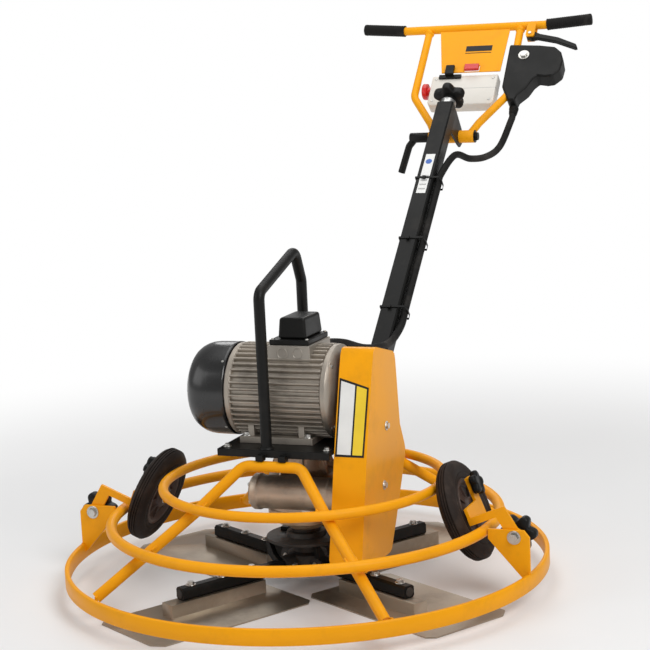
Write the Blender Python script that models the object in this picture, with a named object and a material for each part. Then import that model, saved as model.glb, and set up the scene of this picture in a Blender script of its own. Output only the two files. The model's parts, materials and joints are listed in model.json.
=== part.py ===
"""Electric walk-behind power trowel, 92 cm class.

Frame of the model: +Z up, +Y towards the operator's handle, motor axis along X.
The dimensions below are first laid out about the rotor axis (x = 0, y = 0) and the
whole model is moved by SHIFT_Y at the end, so that the origin is the centre of the
foot print on the floor.  Metres throughout.
"""
import bpy
import bmesh
import math
from mathutils import Vector, Matrix

# ----------------------------------------------------------------- dimensions
SHIFT_Y = -0.36585           # rotor axis to the centre of the foot print
GAP = 0.0003                # clearance between pieces that touch

RING1_R, RING1_T, RING1_Z0, RING1_Z1 = 0.465, 0.009, 0.030, 0.060
RING2_R, RING2_T, RING2_Z = 0.376, 0.0105, 0.132
RING3_R, RING3_T, RING3_Z = 0.272, 0.0095, 0.199
HOOP_T = 0.0105
HOOP_FOOT = (0.2795, 0.3455, 0.0510)
HOOP_KNEE = (0.1327, 0.2178, 0.1837)
HOOP_BEND = (0.057, 0.152, 0.262)

PLATE_X0, PLATE_X1, PLATE_Y0, PLATE_Y1 = -0.113, 0.112, -0.146, 0.205
PLATE_Z0, PLATE_Z1 = 0.2830, 0.2910
MOTOR_Y, MOTOR_Z, MOTOR_R = -0.025, 0.383, 0.090
BODY_X0, BODY_X1 = -0.110, 0.096
LIFT_X, LIFT_T = -0.018, 0.0105

WORM_Y, WORM_Z = -0.065, 0.190
PULLEY_X0, PULLEY_X1 = 0.134, 0.160
MOTOR_PULLEY_R, WORM_PULLEY_R = 0.0370, 0.0640
GUARD_X0, GUARD_X1, GUARD_WALL = 0.116, 0.180, 0.0025

ARM_Z, ARM_HALF, ARM_R0, ARM_R1 = 0.040, 0.012, 0.0625, 0.300
BLADE_ANGLES = (-30.5, 59.5, 149.5, 239.5)
BLADE_U0, BLADE_U1, BLADE_V0, BLADE_V1, BLADE_T = 0.085, 0.436, -0.072, 0.126, 0.0025

COL_X, COL_HALF, COL_WALL = 0.035, 0.020, 0.0025
COL_P = (0.389, 0.388)      # a point (y, z) of the column's axis
COL_D = (0.7392, 0.6735)    # its direction (y, z)
COL_S0, COL_S1 = -0.105, 0.715

HEAD_X, HEAD_Y, HEAD_Z = 0.035, 0.950, 0.798      # tilt axis of the handlebar
HEAD_E = (0.6718, 0.7407)   # direction (y, z) up the handlebar's plane
BAR_E, BAR_T, BAR_HALF = 0.342, 0.0105, 0.176
TUBE_T = 0.0092
GRIP_R, GRIP_END = 0.0140, 0.2930

PIVOT_X, PIVOT_Z, PIVOT_Y = 0.4335, 0.1270, -0.060   # swing axis of a wheel arm
WHEEL_X, WHEEL_Y, WHEEL_Z = 0.323, 0.008, 0.153
WHEEL_R, WHEEL_HALF, WHEEL_LEAN = 0.097, 0.0175, math.radians(22.2)

# ------------------------------------------------------------------- set-up
for old in list(bpy.data.objects):
    bpy.data.objects.remove(old, do_unlink=True)

COLOURS = {
    "yellow": ((0.90, 0.47, 0.02), 0.35, 0.0),
    "black_steel": ((0.012, 0.012, 0.013), 0.40, 0.0),
    "black_plastic": ((0.015, 0.015, 0.016), 0.50, 0.0),
    "rubber": ((0.020, 0.018, 0.017), 0.80, 0.0),
    "aluminium": ((0.55, 0.53, 0.50), 0.45, 1.0),
    "motor_grey": ((0.26, 0.25, 0.24), 0.50, 0.6),
    "blade_steel": ((0.42, 0.40, 0.37), 0.40, 1.0),
    "steel": ((0.50, 0.50, 0.50), 0.30, 1.0),
    "cast_iron": ((0.05, 0.045, 0.04), 0.60, 0.3),
    "box_white": ((0.78, 0.74, 0.66), 0.45, 0.0),
    "red": ((0.70, 0.02, 0.015), 0.35, 0.0),
}


def material(name, colour):
    rgb, rough, metal = COLOURS[colour]
    mat = bpy.data.materials.new(name)
    mat.use_nodes = True
    shader = mat.node_tree.nodes["Principled BSDF"]
    shader.inputs["Base Color"].default_value = (*rgb, 1.0)
    shader.inputs["Roughness"].default_value = rough
    shader.inputs["Metallic"].default_value = metal
    mat.diffuse_color = (*rgb, 1.0)
    return mat


def make(name, bm, colour=None, origin=(0, 0, 0), smooth=30):
    """Turn a bmesh laid out in rotor coordinates into an object with its own origin."""
    bmesh.ops.remove_doubles(bm, verts=bm.verts, dist=1e-6)
    bmesh.ops.recalc_face_normals(bm, faces=bm.faces)
    origin = Vector(origin)
    bmesh.ops.translate(bm, verts=bm.verts, vec=-origin)
    mesh = bpy.data.meshes.new(name)
    bm.to_mesh(mesh)
    bm.free()
    if smooth:
        mesh.shade_smooth()
        mesh.set_sharp_from_angle(angle=math.radians(smooth))
    obj = bpy.data.objects.new(name, mesh)
    obj.location = origin
    bpy.context.scene.collection.objects.link(obj)
    if colour:
        obj.data.materials.append(material(name + "_finish", colour))
    return obj


def guide(name, bm):
    obj = make(name, bm, smooth=0)
    obj.hide_render = True
    obj.display_type = "WIRE"
    return obj


def boolean(obj, kind, tools):
    for k, bm in enumerate(tools):
        tool = guide("%s_%s_%d" % (obj.name, kind.lower(), k), bm)
        mod = obj.modifiers.new("%s_%d" % (kind.lower(), k), "BOOLEAN")
        mod.operation = kind
        mod.solver = "EXACT"
        mod.object = tool
    return obj


def union(obj, *tools):
    return boolean(obj, "UNION", tools)


def cut(obj, *tools):
    return boolean(obj, "DIFFERENCE", tools)


# ------------------------------------------------------------ shape builders
def prism(outline, origin, ux, uy, depth):
    """Extrude a flat outline [(a, b), ...] laid out on ux, uy by the vector depth."""
    bm = bmesh.new()
    origin, ux, uy, depth = Vector(origin), Vector(ux), Vector(uy), Vector(depth)
    face = bm.faces.new([bm.verts.new(origin + ux * a + uy * b) for a, b in outline])
    out = bmesh.ops.extrude_face_region(bm, geom=[face])
    top = [v for v in out["geom"] if isinstance(v, bmesh.types.BMVert)]
    bmesh.ops.translate(bm, verts=top, vec=depth)
    bmesh.ops.recalc_face_normals(bm, faces=bm.faces)
    return bm


def box(x0, x1, y0, y1, z0, z1):
    return prism([(x0, y0), (x1, y0), (x1, y1), (x0, y1)], (0, 0, z0), (1, 0, 0), (0, 1, 0), (0, 0, z1 - z0))


def side_frame(axis):
    axis = Vector(axis).normalized()
    ref = Vector((0, 0, 1)) if abs(axis.z) < 0.9 else Vector((1, 0, 0))
    u = ref.cross(axis).normalized()
    return axis, u, axis.cross(u)


def lathe(profile, centre, axis, steps=32):
    """Spin a profile [(radius, height along axis), ...]; it is closed when it does not touch the axis."""
    axis, u, _ = side_frame(axis)
    centre = Vector(centre)
    bm = bmesh.new()
    verts = [bm.verts.new(centre + axis * h + u * r) for r, h in profile]
    edges = [bm.edges.new(pair) for pair in zip(verts[:-1], verts[1:])]
    if profile[0][0] > 1e-6:
        edges.append(bm.edges.new((verts[-1], verts[0])))
    bmesh.ops.spin(bm, geom=verts + edges, cent=centre, axis=axis, angle=2 * math.pi, steps=steps, use_merge=True)
    bmesh.ops.remove_doubles(bm, verts=bm.verts, dist=1e-6)
    bmesh.ops.recalc_face_normals(bm, faces=bm.faces)
    return bm


def rod(p, q, r, steps=16):
    p, q = Vector(p), Vector(q)
    return lathe([(0, 0), (r, 0), (r, (q - p).length), (0, (q - p).length)], p, q - p, steps)


def bushing(p, q, r_out, r_in, steps=24):
    p, q = Vector(p), Vector(q)
    h = (q - p).length
    return lathe([(r_in, 0), (r_out, 0), (r_out, h), (r_in, h)], p, q - p, steps)


def fillet(points, radius, steps=4):
    """Round the corners of a polyline with arcs."""
    pts = [Vector(p) for p in points]
    out = [pts[0]]
    for a, b, c in zip(pts[:-2], pts[1:-1], pts[2:]):
        d0, d1 = (a - b).normalized(), (c - b).normalized()
        half = d0.angle(d1) / 2
        t = min(radius / math.tan(half), 0.49 * (a - b).length, 0.49 * (c - b).length)
        r = t * math.tan(half)
        mid = b + (d0 + d1).normalized() * (r / math.sin(half))
        e0, e1 = b + d0 * t - mid, b + d1 * t - mid
        for k in range(steps + 1):
            out.append(mid + e0.slerp(e1, k / steps).normalized() * r)
    out.append(pts[-1])
    return out


def tube(points, r, sides=8):
    """Sweep a round section along a polyline and close its ends."""
    pts = [Vector(p) for p in points]
    bm = bmesh.new()
    d = (pts[1] - pts[0]).normalized()
    _, u, v = side_frame(d)
    last = None
    for k, p in enumerate(pts):
        d0 = (pts[k] - pts[k - 1]).normalized() if k else (pts[1] - pts[0]).normalized()
        d1 = (pts[k + 1] - pts[k]).normalized() if k + 1 < len(pts) else d0
        n = (d0 + d1).normalized()
        turn = d.rotation_difference(n)
        u, v, d = turn @ u, turn @ v, n
        stretch = 1.0 / max(0.5, n.dot(d0))
        bend = (d1 - d0)
        ring = []
        for i in range(sides):
            a = 2 * math.pi * (i + 0.5) / sides
            off = u * math.cos(a) * r + v * math.sin(a) * r
            if bend.length > 1e-6:
                w = bend.normalized()
                w = (w - n * w.dot(n)).normalized()
                off += w * off.dot(w) * (stretch - 1.0)
            ring.append(bm.verts.new(p + off))
        if last:
            for i in range(sides):
                bm.faces.new((last[i], last[(i + 1) % sides], ring[(i + 1) % sides], ring[i]))
        else:
            bm.faces.new(ring[::-1])
        last = ring
    bm.faces.new(last)
    bmesh.ops.recalc_face_normals(bm, faces=bm.faces)
    return bm


def smooth_path(points, steps):
    """Catmull-Rom curve through the given points."""
    pts = [Vector(p) for p in points]
    pts = [pts[0] * 2 - pts[1]] + pts + [pts[-1] * 2 - pts[-2]]
    out = []
    for k in range(1, len(pts) - 2):
        a, b, c, d = pts[k - 1:k + 3]
        for i in range(steps):
            t = i / steps
            out.append(0.5 * ((2 * b) + (c - a) * t + (2 * a - 5 * b + 4 * c - d) * t * t
                              + (3 * b - a - 3 * c + d) * t ** 3))
    out.append(pts[-2])
    return out


def circle(r, n, cx=0.0, cy=0.0, a0=0.0):
    return [(cx + r * math.cos(a0 + 2 * math.pi * k / n), cy + r * math.sin(a0 + 2 * math.pi * k / n)) for k in range(n)]


def lobes(r, depth, count, per=4):
    """Outline of a star knob: a circle whose radius dips between the lobes."""
    n = count * per
    return [((r - depth * 0.5 + 0.5 * depth * math.cos(2 * math.pi * k * count / n)) * math.cos(2 * math.pi * k / n),
             (r - depth * 0.5 + 0.5 * depth * math.cos(2 * math.pi * k * count / n)) * math.sin(2 * math.pi * k / n))
            for k in range(n)]


def star_knob(name, base, axis, r, thick, neck, stud, lobe_count=5):
    """Star grip with a neck towards the base and a stud going back through it."""
    axis, u, v = side_frame(axis)
    base = Vector(base)
    head = make(name, prism(lobes(r, r * 0.28, lobe_count, 6), base + axis * neck, u, v, axis * thick), "black_plastic", origin=base)
    union(head, rod(base, base + axis * (neck + thick * 0.5), r * 0.42, 16))
    if stud:
        union(head, rod(base - axis * stud[1], base + axis * (neck + thick * 0.4), stud[0], 12))
    return head


# ------------------------------------------------------------------ guard frame
ring1 = make("guard_ring_outer", lathe(
    [(RING1_R - RING1_T / 2, RING1_Z0), (RING1_R + RING1_T / 2, RING1_Z0),
     (RING1_R + RING1_T / 2, RING1_Z1), (RING1_R - RING1_T / 2, RING1_Z1)], (0, 0, 0), (0, 0, 1), 72), "yellow")
for side in (-1, 1):
    web = [(0.3840, 0.122), (0.3840, 0.141), (0.4520, 0.141), (0.4625, 0.128), (0.4625, 0.040), (0.4500, 0.048)]
    union(ring1, prism([(side * a, b) for a, b in web], (0, PIVOT_Y - 0.003, 0), (1, 0, 0), (0, 0, 1), (0, 0.006, 0)))
for side in (-1, 1):
    cut(ring1, rod((side * PIVOT_X, PIVOT_Y - 0.02, PIVOT_Z), (side * PIVOT_X, PIVOT_Y + 0.02, PIVOT_Z), 0.0064, 14))


def round_ring(name, radius, t, z, steps, sides=8):
    prof = [(radius + t * math.cos(2 * math.pi * (k + 0.5) / sides), z + t * math.sin(2 * math.pi * (k + 0.5) / sides))
            for k in range(sides)]
    return make(name, lathe(prof, (0, 0, 0), (0, 0, 1), steps), "yellow", smooth=60)


round_ring("guard_ring_middle", RING2_R, RING2_T, RING2_Z, 60)
round_ring("guard_ring_upper", RING3_R, RING3_T, RING3_Z, 52)

for name, s in (("front_hoop", -1), ("rear_hoop", 1)):
    fx, fy, fz = HOOP_FOOT
    bx, by, bz = HOOP_BEND
    kx, ky, kz = HOOP_KNEE
    path = fillet([(-fx, s * fy, fz), (-kx, s * ky, kz), (-bx, s * by, bz), (bx, s * by, bz), (kx, s * ky, kz), (fx, s * fy, fz)], 0.028, 4)
    make(name, tube(path, HOOP_T, 8), "yellow", smooth=60)

# ------------------------------------------------------------------ motor and its plate
plate = make("motor_plate", box(PLATE_X0, PLATE_X1, PLATE_Y0, PLATE_Y1, PLATE_Z0, PLATE_Z1), "black_steel")
union(plate, box(PLATE_X0, PLATE_X1, PLATE_Y0, PLATE_Y0 + 0.005, 0.277, PLATE_Z0 + 0.002))
for s in (-1, 1):
    # hoop saddles welded under the plate
    by = HOOP_BEND[1] * s
    union(plate, box(-0.030, -0.015, by - 0.008, by + 0.008, HOOP_BEND[2] + HOOP_T + GAP, PLATE_Z0 + 0.001))
    union(plate, box(0.015, 0.030, by - 0.008, by + 0.008, HOOP_BEND[2] + HOOP_T + GAP, PLATE_Z0 + 0.001))

fins = 26
fin_profile = []
for k in range(fins):
    for part, r in ((0.0, MOTOR_R - 0.007), (0.5, MOTOR_R - 0.007), (0.56, MOTOR_R), (0.94, MOTOR_R)):
        a = 2 * math.pi * (k + part) / fins
        fin_profile.append((r * math.cos(a), r * math.sin(a)))
motor = make("motor_housing", prism(fin_profile, (BODY_X0, MOTOR_Y, MOTOR_Z), (0, 1, 0), (0, 0, 1), (BODY_X1 - BODY_X0, 0, 0)), "motor_grey")
union(motor,
      lathe([(0, 0), (0.086, 0), (0.086, 0.010), (0.060, 0.017), (0.030, 0.019), (0, 0.019)], (BODY_X1 - 0.002, MOTOR_Y, MOTOR_Z), (1, 0, 0), 32),
      box(-0.088, 0.060, MOTOR_Y - 0.070, MOTOR_Y + 0.070, PLATE_Z1 + GAP, 0.304),
      box(-0.061, 0.031, MOTOR_Y - 0.046, MOTOR_Y + 0.046, 0.300, 0.3165),
      box(-0.072, -0.060, MOTOR_Y - 0.064, MOTOR_Y + 0.064, 0.300, 0.345),
      box(0.030, 0.042, MOTOR_Y - 0.064, MOTOR_Y + 0.064, 0.300, 0.345),
      box(-0.026, 0.0555, MOTOR_Y - 0.055, MOTOR_Y + 0.052, 0.430, 0.4775),
      rod((0.035, MOTOR_Y + 0.045, 0.4550), (0.035, MOTOR_Y + 0.066, 0.4550), 0.0120, 12))
cut(motor, rod((BODY_X0 - 0.01, MOTOR_Y, MOTOR_Z), (BODY_X1 + 0.04, MOTOR_Y, MOTOR_Z), 0.0125, 16))

cowl_profile = [(0.0900, 0.0), (0.0900, 0.040), (0.0880, 0.056), (0.0820, 0.0705), (0.0720, 0.0810), (0.0580, 0.0880), (0.0400, 0.0915), (0.0120, 0.0925),
                (0.0120, 0.0900), (0.0400, 0.0890), (0.0570, 0.0855), (0.0700, 0.0790), (0.0798, 0.0690), (0.0855, 0.0550), (0.0875, 0.0400), (0.0875, 0.0)]
make("fan_cowl", lathe(cowl_profile, (BODY_X0 - GAP, MOTOR_Y, MOTOR_Z), (-1, 0, 0), 40), "black_plastic")

fan_outline = []
for k in range(9):
    for part, r in ((0.0, 0.034), (0.72, 0.034), (0.76, 0.076), (0.96, 0.076)):
        a = 2 * math.pi * (k + part) / 9
        fan_outline.append((r * math.cos(a), r * math.sin(a)))
fan = make("motor_fan", prism(fan_outline, (-0.155, MOTOR_Y, MOTOR_Z), (0, 1, 0), (0, 0, 1), (0.030, 0, 0)), "black_plastic", origin=(-0.14, MOTOR_Y, MOTOR_Z))
cut(fan, rod((-0.17, MOTOR_Y, MOTOR_Z), (-0.11, MOTOR_Y, MOTOR_Z), 0.0115, 16))

make("motor_shaft", lathe([(0, -0.160), (0.0110, -0.160), (0.0110, -0.106), (0.0120, -0.106), (0.0120, 0.1240), (0.0095, 0.1240), (0.0095, 0.1650), (0, 0.1650)],
                          (0, MOTOR_Y, MOTOR_Z), (1, 0, 0), 20), "steel", origin=(0, MOTOR_Y, MOTOR_Z))


def pulley(name, y, z, r, bore):
    w = PULLEY_X1 - PULLEY_X0
    prof = [(bore, 0), (r, 0), (r, 0.004), (r - 0.009, 0.0085), (r - 0.009, w - 0.0085), (r, w - 0.004), (r, w), (bore, w)]
    return make(name, lathe(prof, (PULLEY_X0, y, z), (1, 0, 0), 32), "steel", origin=(PULLEY_X0, y, z))


pulley("motor_pulley", MOTOR_Y, MOTOR_Z, MOTOR_PULLEY_R, 0.0098)
pulley("gearbox_pulley", WORM_Y, WORM_Z, WORM_PULLEY_R, 0.0098)


def belt_outline(grow):
    """Open-belt outline round both pulleys, in (y, z)."""
    a, b = Vector((MOTOR_Y, MOTOR_Z)), Vector((WORM_Y, WORM_Z))
    ra, rb = MOTOR_PULLEY_R - 0.009 + grow, WORM_PULLEY_R - 0.009 + grow
    along = (b - a)
    dist = along.length
    base = math.atan2(along.y, along.x)
    beta = math.acos((ra - rb) / dist)
    pts = []
    n = 12
    for k in range(n + 1):
        ang = base + beta + (2 * math.pi - 2 * beta) * k / n
        pts.append((a.x + ra * math.cos(ang), a.y + ra * math.sin(ang)))
    for k in range(n + 1):
        ang = base - beta + (2 * beta) * k / n
        pts.append((b.x + rb * math.cos(ang), b.y + rb * math.sin(ang)))
    return pts


mid_x = (PULLEY_X0 + PULLEY_X1) / 2
belt = make("drive_belt", prism(belt_outline(0.0088), (mid_x - 0.0042, 0, 0), (0, 1, 0), (0, 0, 1), (0.0084, 0, 0)), "rubber")
cut(belt, prism(belt_outline(0.0009), (mid_x - 0.02, 0, 0), (0, 1, 0), (0, 0, 1), (0.04, 0, 0)))

make("terminal_box_base", box(-0.0250, 0.0545, MOTOR_Y - 0.054, MOTOR_Y + 0.051, 0.4778, 0.4880), "black_plastic")
make("terminal_box_lid", prism([(-0.0100, MOTOR_Y - 0.046), (0.0470, MOTOR_Y - 0.046), (0.0470, MOTOR_Y + 0.043), (-0.0100, MOTOR_Y + 0.043)], (0, 0, 0.4883), (1, 0, 0), (0, 1, 0), (0, 0, 0.0400)), "black_plastic")

lift_path = fillet([(LIFT_X, MOTOR_Y - 0.1060, PLATE_Z1 + GAP), (LIFT_X, MOTOR_Y - 0.1060, 0.584), (LIFT_X, 0.052, 0.640), (LIFT_X, MOTOR_Y + 0.1060, 0.578),
                    (LIFT_X, MOTOR_Y + 0.1060, PLATE_Z1 + GAP)], 0.020, 4)
make("lifting_hoop", tube(lift_path, LIFT_T, 10), "black_steel", smooth=60)

# ------------------------------------------------------------------ gearbox
gear = make("gearbox_housing", lathe([(0, 0.137), (0.070, 0.137), (0.072, 0.145), (0.072, 0.212), (0.066, 0.222), (0.050, 0.226), (0.047, PLATE_Z0 - GAP), (0, PLATE_Z0 - GAP)],
                                     (0, 0, 0), (0, 0, 1), 32), "aluminium")
union(gear,
      lathe([(0, -0.078), (0.030, -0.078), (0.035, -0.072), (0.035, -0.060), (0.033, -0.056), (0.033, 0.078), (0.035, 0.082), (0.035, 0.098), (0, 0.098)], (0, WORM_Y, WORM_Z), (1, 0, 0), 28))
cut(gear,
    lathe([(0, 0.120), (0.046, 0.120), (0.046, 0.143), (0.050, 0.143), (0.050, 0.214), (0, 0.214)], (0, 0, 0), (0, 0, 1), 32),
    lathe([(0, -0.064), (0.0245, -0.064), (0.0245, 0.072), (0.0128, 0.072), (0.0128, 0.120), (0, 0.120)], (0, WORM_Y, WORM_Z), (1, 0, 0), 24))

make("gearbox_cover", lathe([(0.0186, 0.107), (0.032, 0.107), (0.036, 0.118), (0.058, 0.121), (0.060, 0.1367), (0.0186, 0.1367)], (0, 0, 0), (0, 0, 1), 32), "aluminium")

make("worm_shaft", lathe([(0, -0.060), (0.0120, -0.060), (0.0120, -0.034), (0.0220, -0.030), (0.0220, 0.030), (0.0120, 0.034), (0.0120, 0.124),
                          (0.0095, 0.124), (0.0095, 0.165), (0, 0.165)], (0, WORM_Y, WORM_Z), (1, 0, 0), 20), "steel", origin=(0, WORM_Y, WORM_Z))

make("output_shaft", lathe([(0, 0.0220), (0.0180, 0.0220), (0.0180, 0.1780), (0.0440, 0.1780), (0.0425, 0.1900), (0.0440, 0.2020), (0.0180, 0.2020), (0.0180, 0.2100), (0, 0.2100)],
                           (0, 0, 0), (0, 0, 1), 28), "steel")

# belt guard: a pressed cover, open on the motor side, in (y, z)
guard_outline = [(-0.1800, 0.1000), (-0.1335, 0.2790), (-0.0887, 0.4239), (-0.0745, 0.4640), (-0.0660, 0.4730), (-0.0540, 0.4735), (0.0370, 0.4500), (0.0465, 0.4430),
                 (0.0500, 0.4300), (0.0626, 0.3036), (0.0850, 0.2600), (0.0889, 0.2479), (0.0860, 0.2350), (0.0230, 0.1296), (-0.0120, 0.0765), (-0.0220, 0.0720),
                 (-0.1600, 0.0720), (-0.1740, 0.0800)]


def inset(outline, d):
    """Offset a closed outline inwards, corner by corner."""
    n = len(outline)
    area = sum(outline[k][0] * outline[(k + 1) % n][1] - outline[(k + 1) % n][0] * outline[k][1] for k in range(n))
    s = 1.0 if area > 0 else -1.0
    out = []
    for k in range(n):
        p0, p, p1 = Vector(outline[k - 1]), Vector(outline[k]), Vector(outline[(k + 1) % n])
        a, b = (p - p0).normalized(), (p1 - p).normalized()
        na, nb = Vector((-a.y, a.x)) * s, Vector((-b.y, b.x)) * s
        m = (na + nb).normalized()
        out.append(tuple(p + m * (d / max(0.3, m.dot(na)))))
    return out


guard = make("belt_guard", prism(guard_outline, (GUARD_X0, 0, 0), (0, 1, 0), (0, 0, 1), (GUARD_X1 - GUARD_X0, 0, 0)), "yellow")
cut(guard, prism(inset(guard_outline, GUARD_WALL), (GUARD_X0 - 0.01, 0, 0), (0, 1, 0), (0, 0, 1), (GUARD_X1 - GUARD_X0 + 0.01 - GUARD_WALL, 0, 0)))
# fixing strap across the open side, standing on two bosses of the worm housing
union(guard, prism([(-0.1657, 0.150), (-0.1616, 0.166), (0.0434, 0.166), (0.0338, 0.150)], (GUARD_X0, 0, 0), (0, 1, 0), (0, 0, 1), (0.0025, 0, 0)),
      rod((0.0983, -0.0850, 0.1650), (GUARD_X0 + 0.001, -0.0850, 0.1650), 0.0050, 12), rod((0.0983, -0.0450, 0.1650), (GUARD_X0 + 0.001, -0.0450, 0.1650), 0.0050, 12))

# ------------------------------------------------------------------ rotor
hub = make("spider_hub", lathe([(0, 0.0225), (0.036, 0.0225), (0.038, 0.0255), (0.038, 0.0560), (0.027, 0.0600), (0.027, 0.1060), (0, 0.1060)], (0, 0, 0), (0, 0, 1), 28), "cast_iron")
for deg in BLADE_ANGLES:
    u = Vector((math.cos(math.radians(deg)), math.sin(math.radians(deg)), 0))
    base = Vector((0, 0, ARM_Z))
    union(hub, rod(base + u * 0.020, base + u * 0.0620, 0.0185, 16))
cut(hub, rod((0, 0, 0.01), (0, 0, 0.12), 0.0183, 28))
for deg in BLADE_ANGLES:
    u = Vector((math.cos(math.radians(deg)), math.sin(math.radians(deg)), 0))
    base = Vector((0, 0, ARM_Z))
    cut(hub, rod(base + u * 0.0300, base + u * 0.1000, 0.0108, 14))

make("pressure_plate", lathe([(0.0273, 0.0800), (0.0400, 0.0800), (0.0430, 0.0850), (0.0780, 0.0850), (0.0780, 0.0910), (0.0400, 0.0910), (0.0370, 0.1000), (0.0273, 0.1000)],
                             (0, 0, 0), (0, 0, 1), 32), "cast_iron", origin=(0, 0, 0.085))

for k, deg in enumerate(BLADE_ANGLES):
    u = Vector((math.cos(math.radians(deg)), math.sin(math.radians(deg)), 0))
    v = Vector((-u.y, u.x, 0))
    w = Vector((0, 0, 1))
    origin = u * 0.19 + w * ARM_Z
    c = 0.004
    sect = [(-ARM_HALF, -ARM_HALF + c), (-ARM_HALF + c, -ARM_HALF), (ARM_HALF - c, -ARM_HALF), (ARM_HALF, -ARM_HALF + c),
            (ARM_HALF, ARM_HALF - c), (ARM_HALF - c, ARM_HALF), (-ARM_HALF + c, ARM_HALF), (-ARM_HALF, ARM_HALF - c)]
    arm = make("trowel_arm_%d" % (k + 1), prism(sect, u * ARM_R0 + w * ARM_Z, v, w, u * (ARM_R1 - ARM_R0)), "black_steel", origin=origin)
    union(arm, rod(u * 0.0330 + w * ARM_Z, u * (ARM_R0 + 0.01) + w * ARM_Z, 0.0105, 14),
          prism([(-0.011, 0.046), (-0.030, 0.060), (-0.034, 0.0845), (-0.024, 0.0847), (-0.012, 0.064), (0.006, 0.051), (0.006, 0.046)], u * 0.0635, v, w, u * 0.010))
    corner = 0.014
    flat = [(BLADE_U0 + corner, BLADE_V0), (BLADE_U1 - corner, BLADE_V0), (BLADE_U1, BLADE_V0 + corner), (BLADE_U1, BLADE_V1 - corner * 1.6),
            (BLADE_U1 - corner * 1.3, BLADE_V1), (BLADE_U0 + corner, BLADE_V1), (BLADE_U0, BLADE_V1 - corner), (BLADE_U0, BLADE_V0 + corner)]
    blade = make("blade_%d" % (k + 1), prism(flat, (0, 0, 0), u, v, w * BLADE_T), "blade_steel", origin=origin)
    union(blade, prism([(0.115, -0.016), (0.330, -0.016), (0.330, 0.016), (0.115, 0.016)], w * (BLADE_T - 0.0005), u, v, w * (ARM_Z - ARM_HALF - GAP - BLADE_T + 0.0005)))

# pitch fork: a forked lever hung behind the gearbox that pushes the pressure plate down
fork = make("pitch_fork", prism([(-0.058, 0.008), (-0.041, 0.008), (-0.041, 0.030), (-0.020, 0.050), (0.020, 0.050), (0.041, 0.030), (0.041, 0.008), (0.058, 0.008),
                                 (0.058, 0.040), (0.026, 0.070), (0.014, 0.140), (-0.014, 0.140), (-0.026, 0.070), (-0.058, 0.040)],
                                (0, 0, 0.0913), (1, 0, 0), (0, 1, 0), (0, 0, 0.008)), "black_steel", origin=(0, 0.098, 0.0953))

# ------------------------------------------------------------------ handle column
COLUMN = Vector((COL_X, COL_P[0], COL_P[1]))
CD = Vector((0, COL_D[0], COL_D[1])).normalized()
CM = Vector((0, -CD.z, CD.y))
XV = Vector((1, 0, 0))


def square(h, c=0.003):
    return [(-h, -h + c), (-h + c, -h), (h - c, -h), (h, -h + c), (h, h - c), (h - c, h), (-h + c, h), (-h, h - c)]


HEAD = Vector((HEAD_X, HEAD_Y, HEAD_Z))
EV = Vector((0, HEAD_E[0], HEAD_E[1])).normalized()
GV = Vector((0, -EV.z, EV.y))


def head(x, e, g=0.0):
    return HEAD + XV * x + EV * e + GV * g


column = make("handle_column", prism(square(COL_HALF), COLUMN + CD * COL_S0, XV, CM, CD * (COL_S1 - COL_S0)), "black_steel")
clevis = (HEAD - COLUMN).dot(CD)
down = (HEAD - COLUMN).dot(CM)
for x in (-0.0195, 0.0145):
    union(column, prism([(clevis - 0.040, -COL_HALF + 0.004), (clevis - 0.024, down), (clevis - 0.017, down - 0.018), (clevis, down - 0.024), (clevis + 0.017, down - 0.018),
                         (clevis + 0.024, down), (clevis + 0.026, -COL_HALF + 0.004)], COLUMN + XV * x, CD, CM, XV * 0.005))
cut(column, prism(square(COL_HALF - COL_WALL, 0.001), COLUMN + CD * (COL_S0 - 0.01), XV, CM, CD * (COL_S1 - COL_S0 + 0.005)),
    rod(COLUMN + CD * (COL_S1 - 0.02), COLUMN + CD * (COL_S1 + 0.02), 0.0065, 14),
    rod(HEAD - XV * 0.04, HEAD + XV * 0.04, 0.0154, 20))
union(column, bushing(COLUMN + CD * (COL_S1 - 0.001), COLUMN + CD * (COL_S1 + 0.016), 0.0175, 0.0065, 20))

foot = make("handle_foot_bracket", box(COL_X - 0.034, COL_X + 0.034, 0.128, 0.204, PLATE_Z1 + GAP, 0.2970), "black_steel")
foot_tools = []
for x in (-0.0263, 0.0203):
    pts = [(0.134, 0.2930), (0.204, 0.2930), (0.326, 0.306), (0.366, 0.348), (0.348, 0.372), (0.300, 0.354), (0.150, 0.314)]
    foot_tools.append(prism(pts, (COL_X + x, 0, 0), (0, 1, 0), (0, 0, 1), (0.006, 0, 0)))
union(foot, *foot_tools)

knob_base = COLUMN + CD * (COL_S1 + 0.0165)
star_knob("pitch_knob", knob_base, CD, 0.0385, 0.022, 0.010, (0.0055, 0.060), 5)

# ------------------------------------------------------------------ handlebar head
frame = make("handle_frame", bushing(head(-0.056, 0), head(0.056, 0), 0.0150, 0.0062, 24), "yellow", origin=HEAD)
for s in (-1, 1):
    path = fillet([head(s * 0.0460, 0.0115), head(s * 0.0600, 0.0400), head(s * 0.1185, 0.1260), head(s * 0.1165, 0.3305)], 0.030, 4)
    union(frame, tube(path, TUBE_T, 8))

tip = Vector((0.1120, 0.0110))
bar_path = fillet([head(-BAR_HALF - tip.x, BAR_E + tip.y), head(-BAR_HALF, BAR_E), head(BAR_HALF, BAR_E), head(BAR_HALF + tip.x, BAR_E + tip.y)], 0.030, 3)
bar = make("crossbar", tube(bar_path, BAR_T, 8), "yellow", origin=HEAD, smooth=60)
lever_pivot = head(0.1460, 0.3080)
for g in (-0.0110, 0.0065):
    union(bar, prism([(0.136, 0.299), (0.157, 0.299), (0.157, 0.341), (0.136, 0.341)], head(0, 0, g), XV, EV, GV * 0.0045))
union(bar, rod(lever_pivot - GV * 0.0090, lever_pivot + GV * 0.0090, 0.0030, 10))

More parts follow.
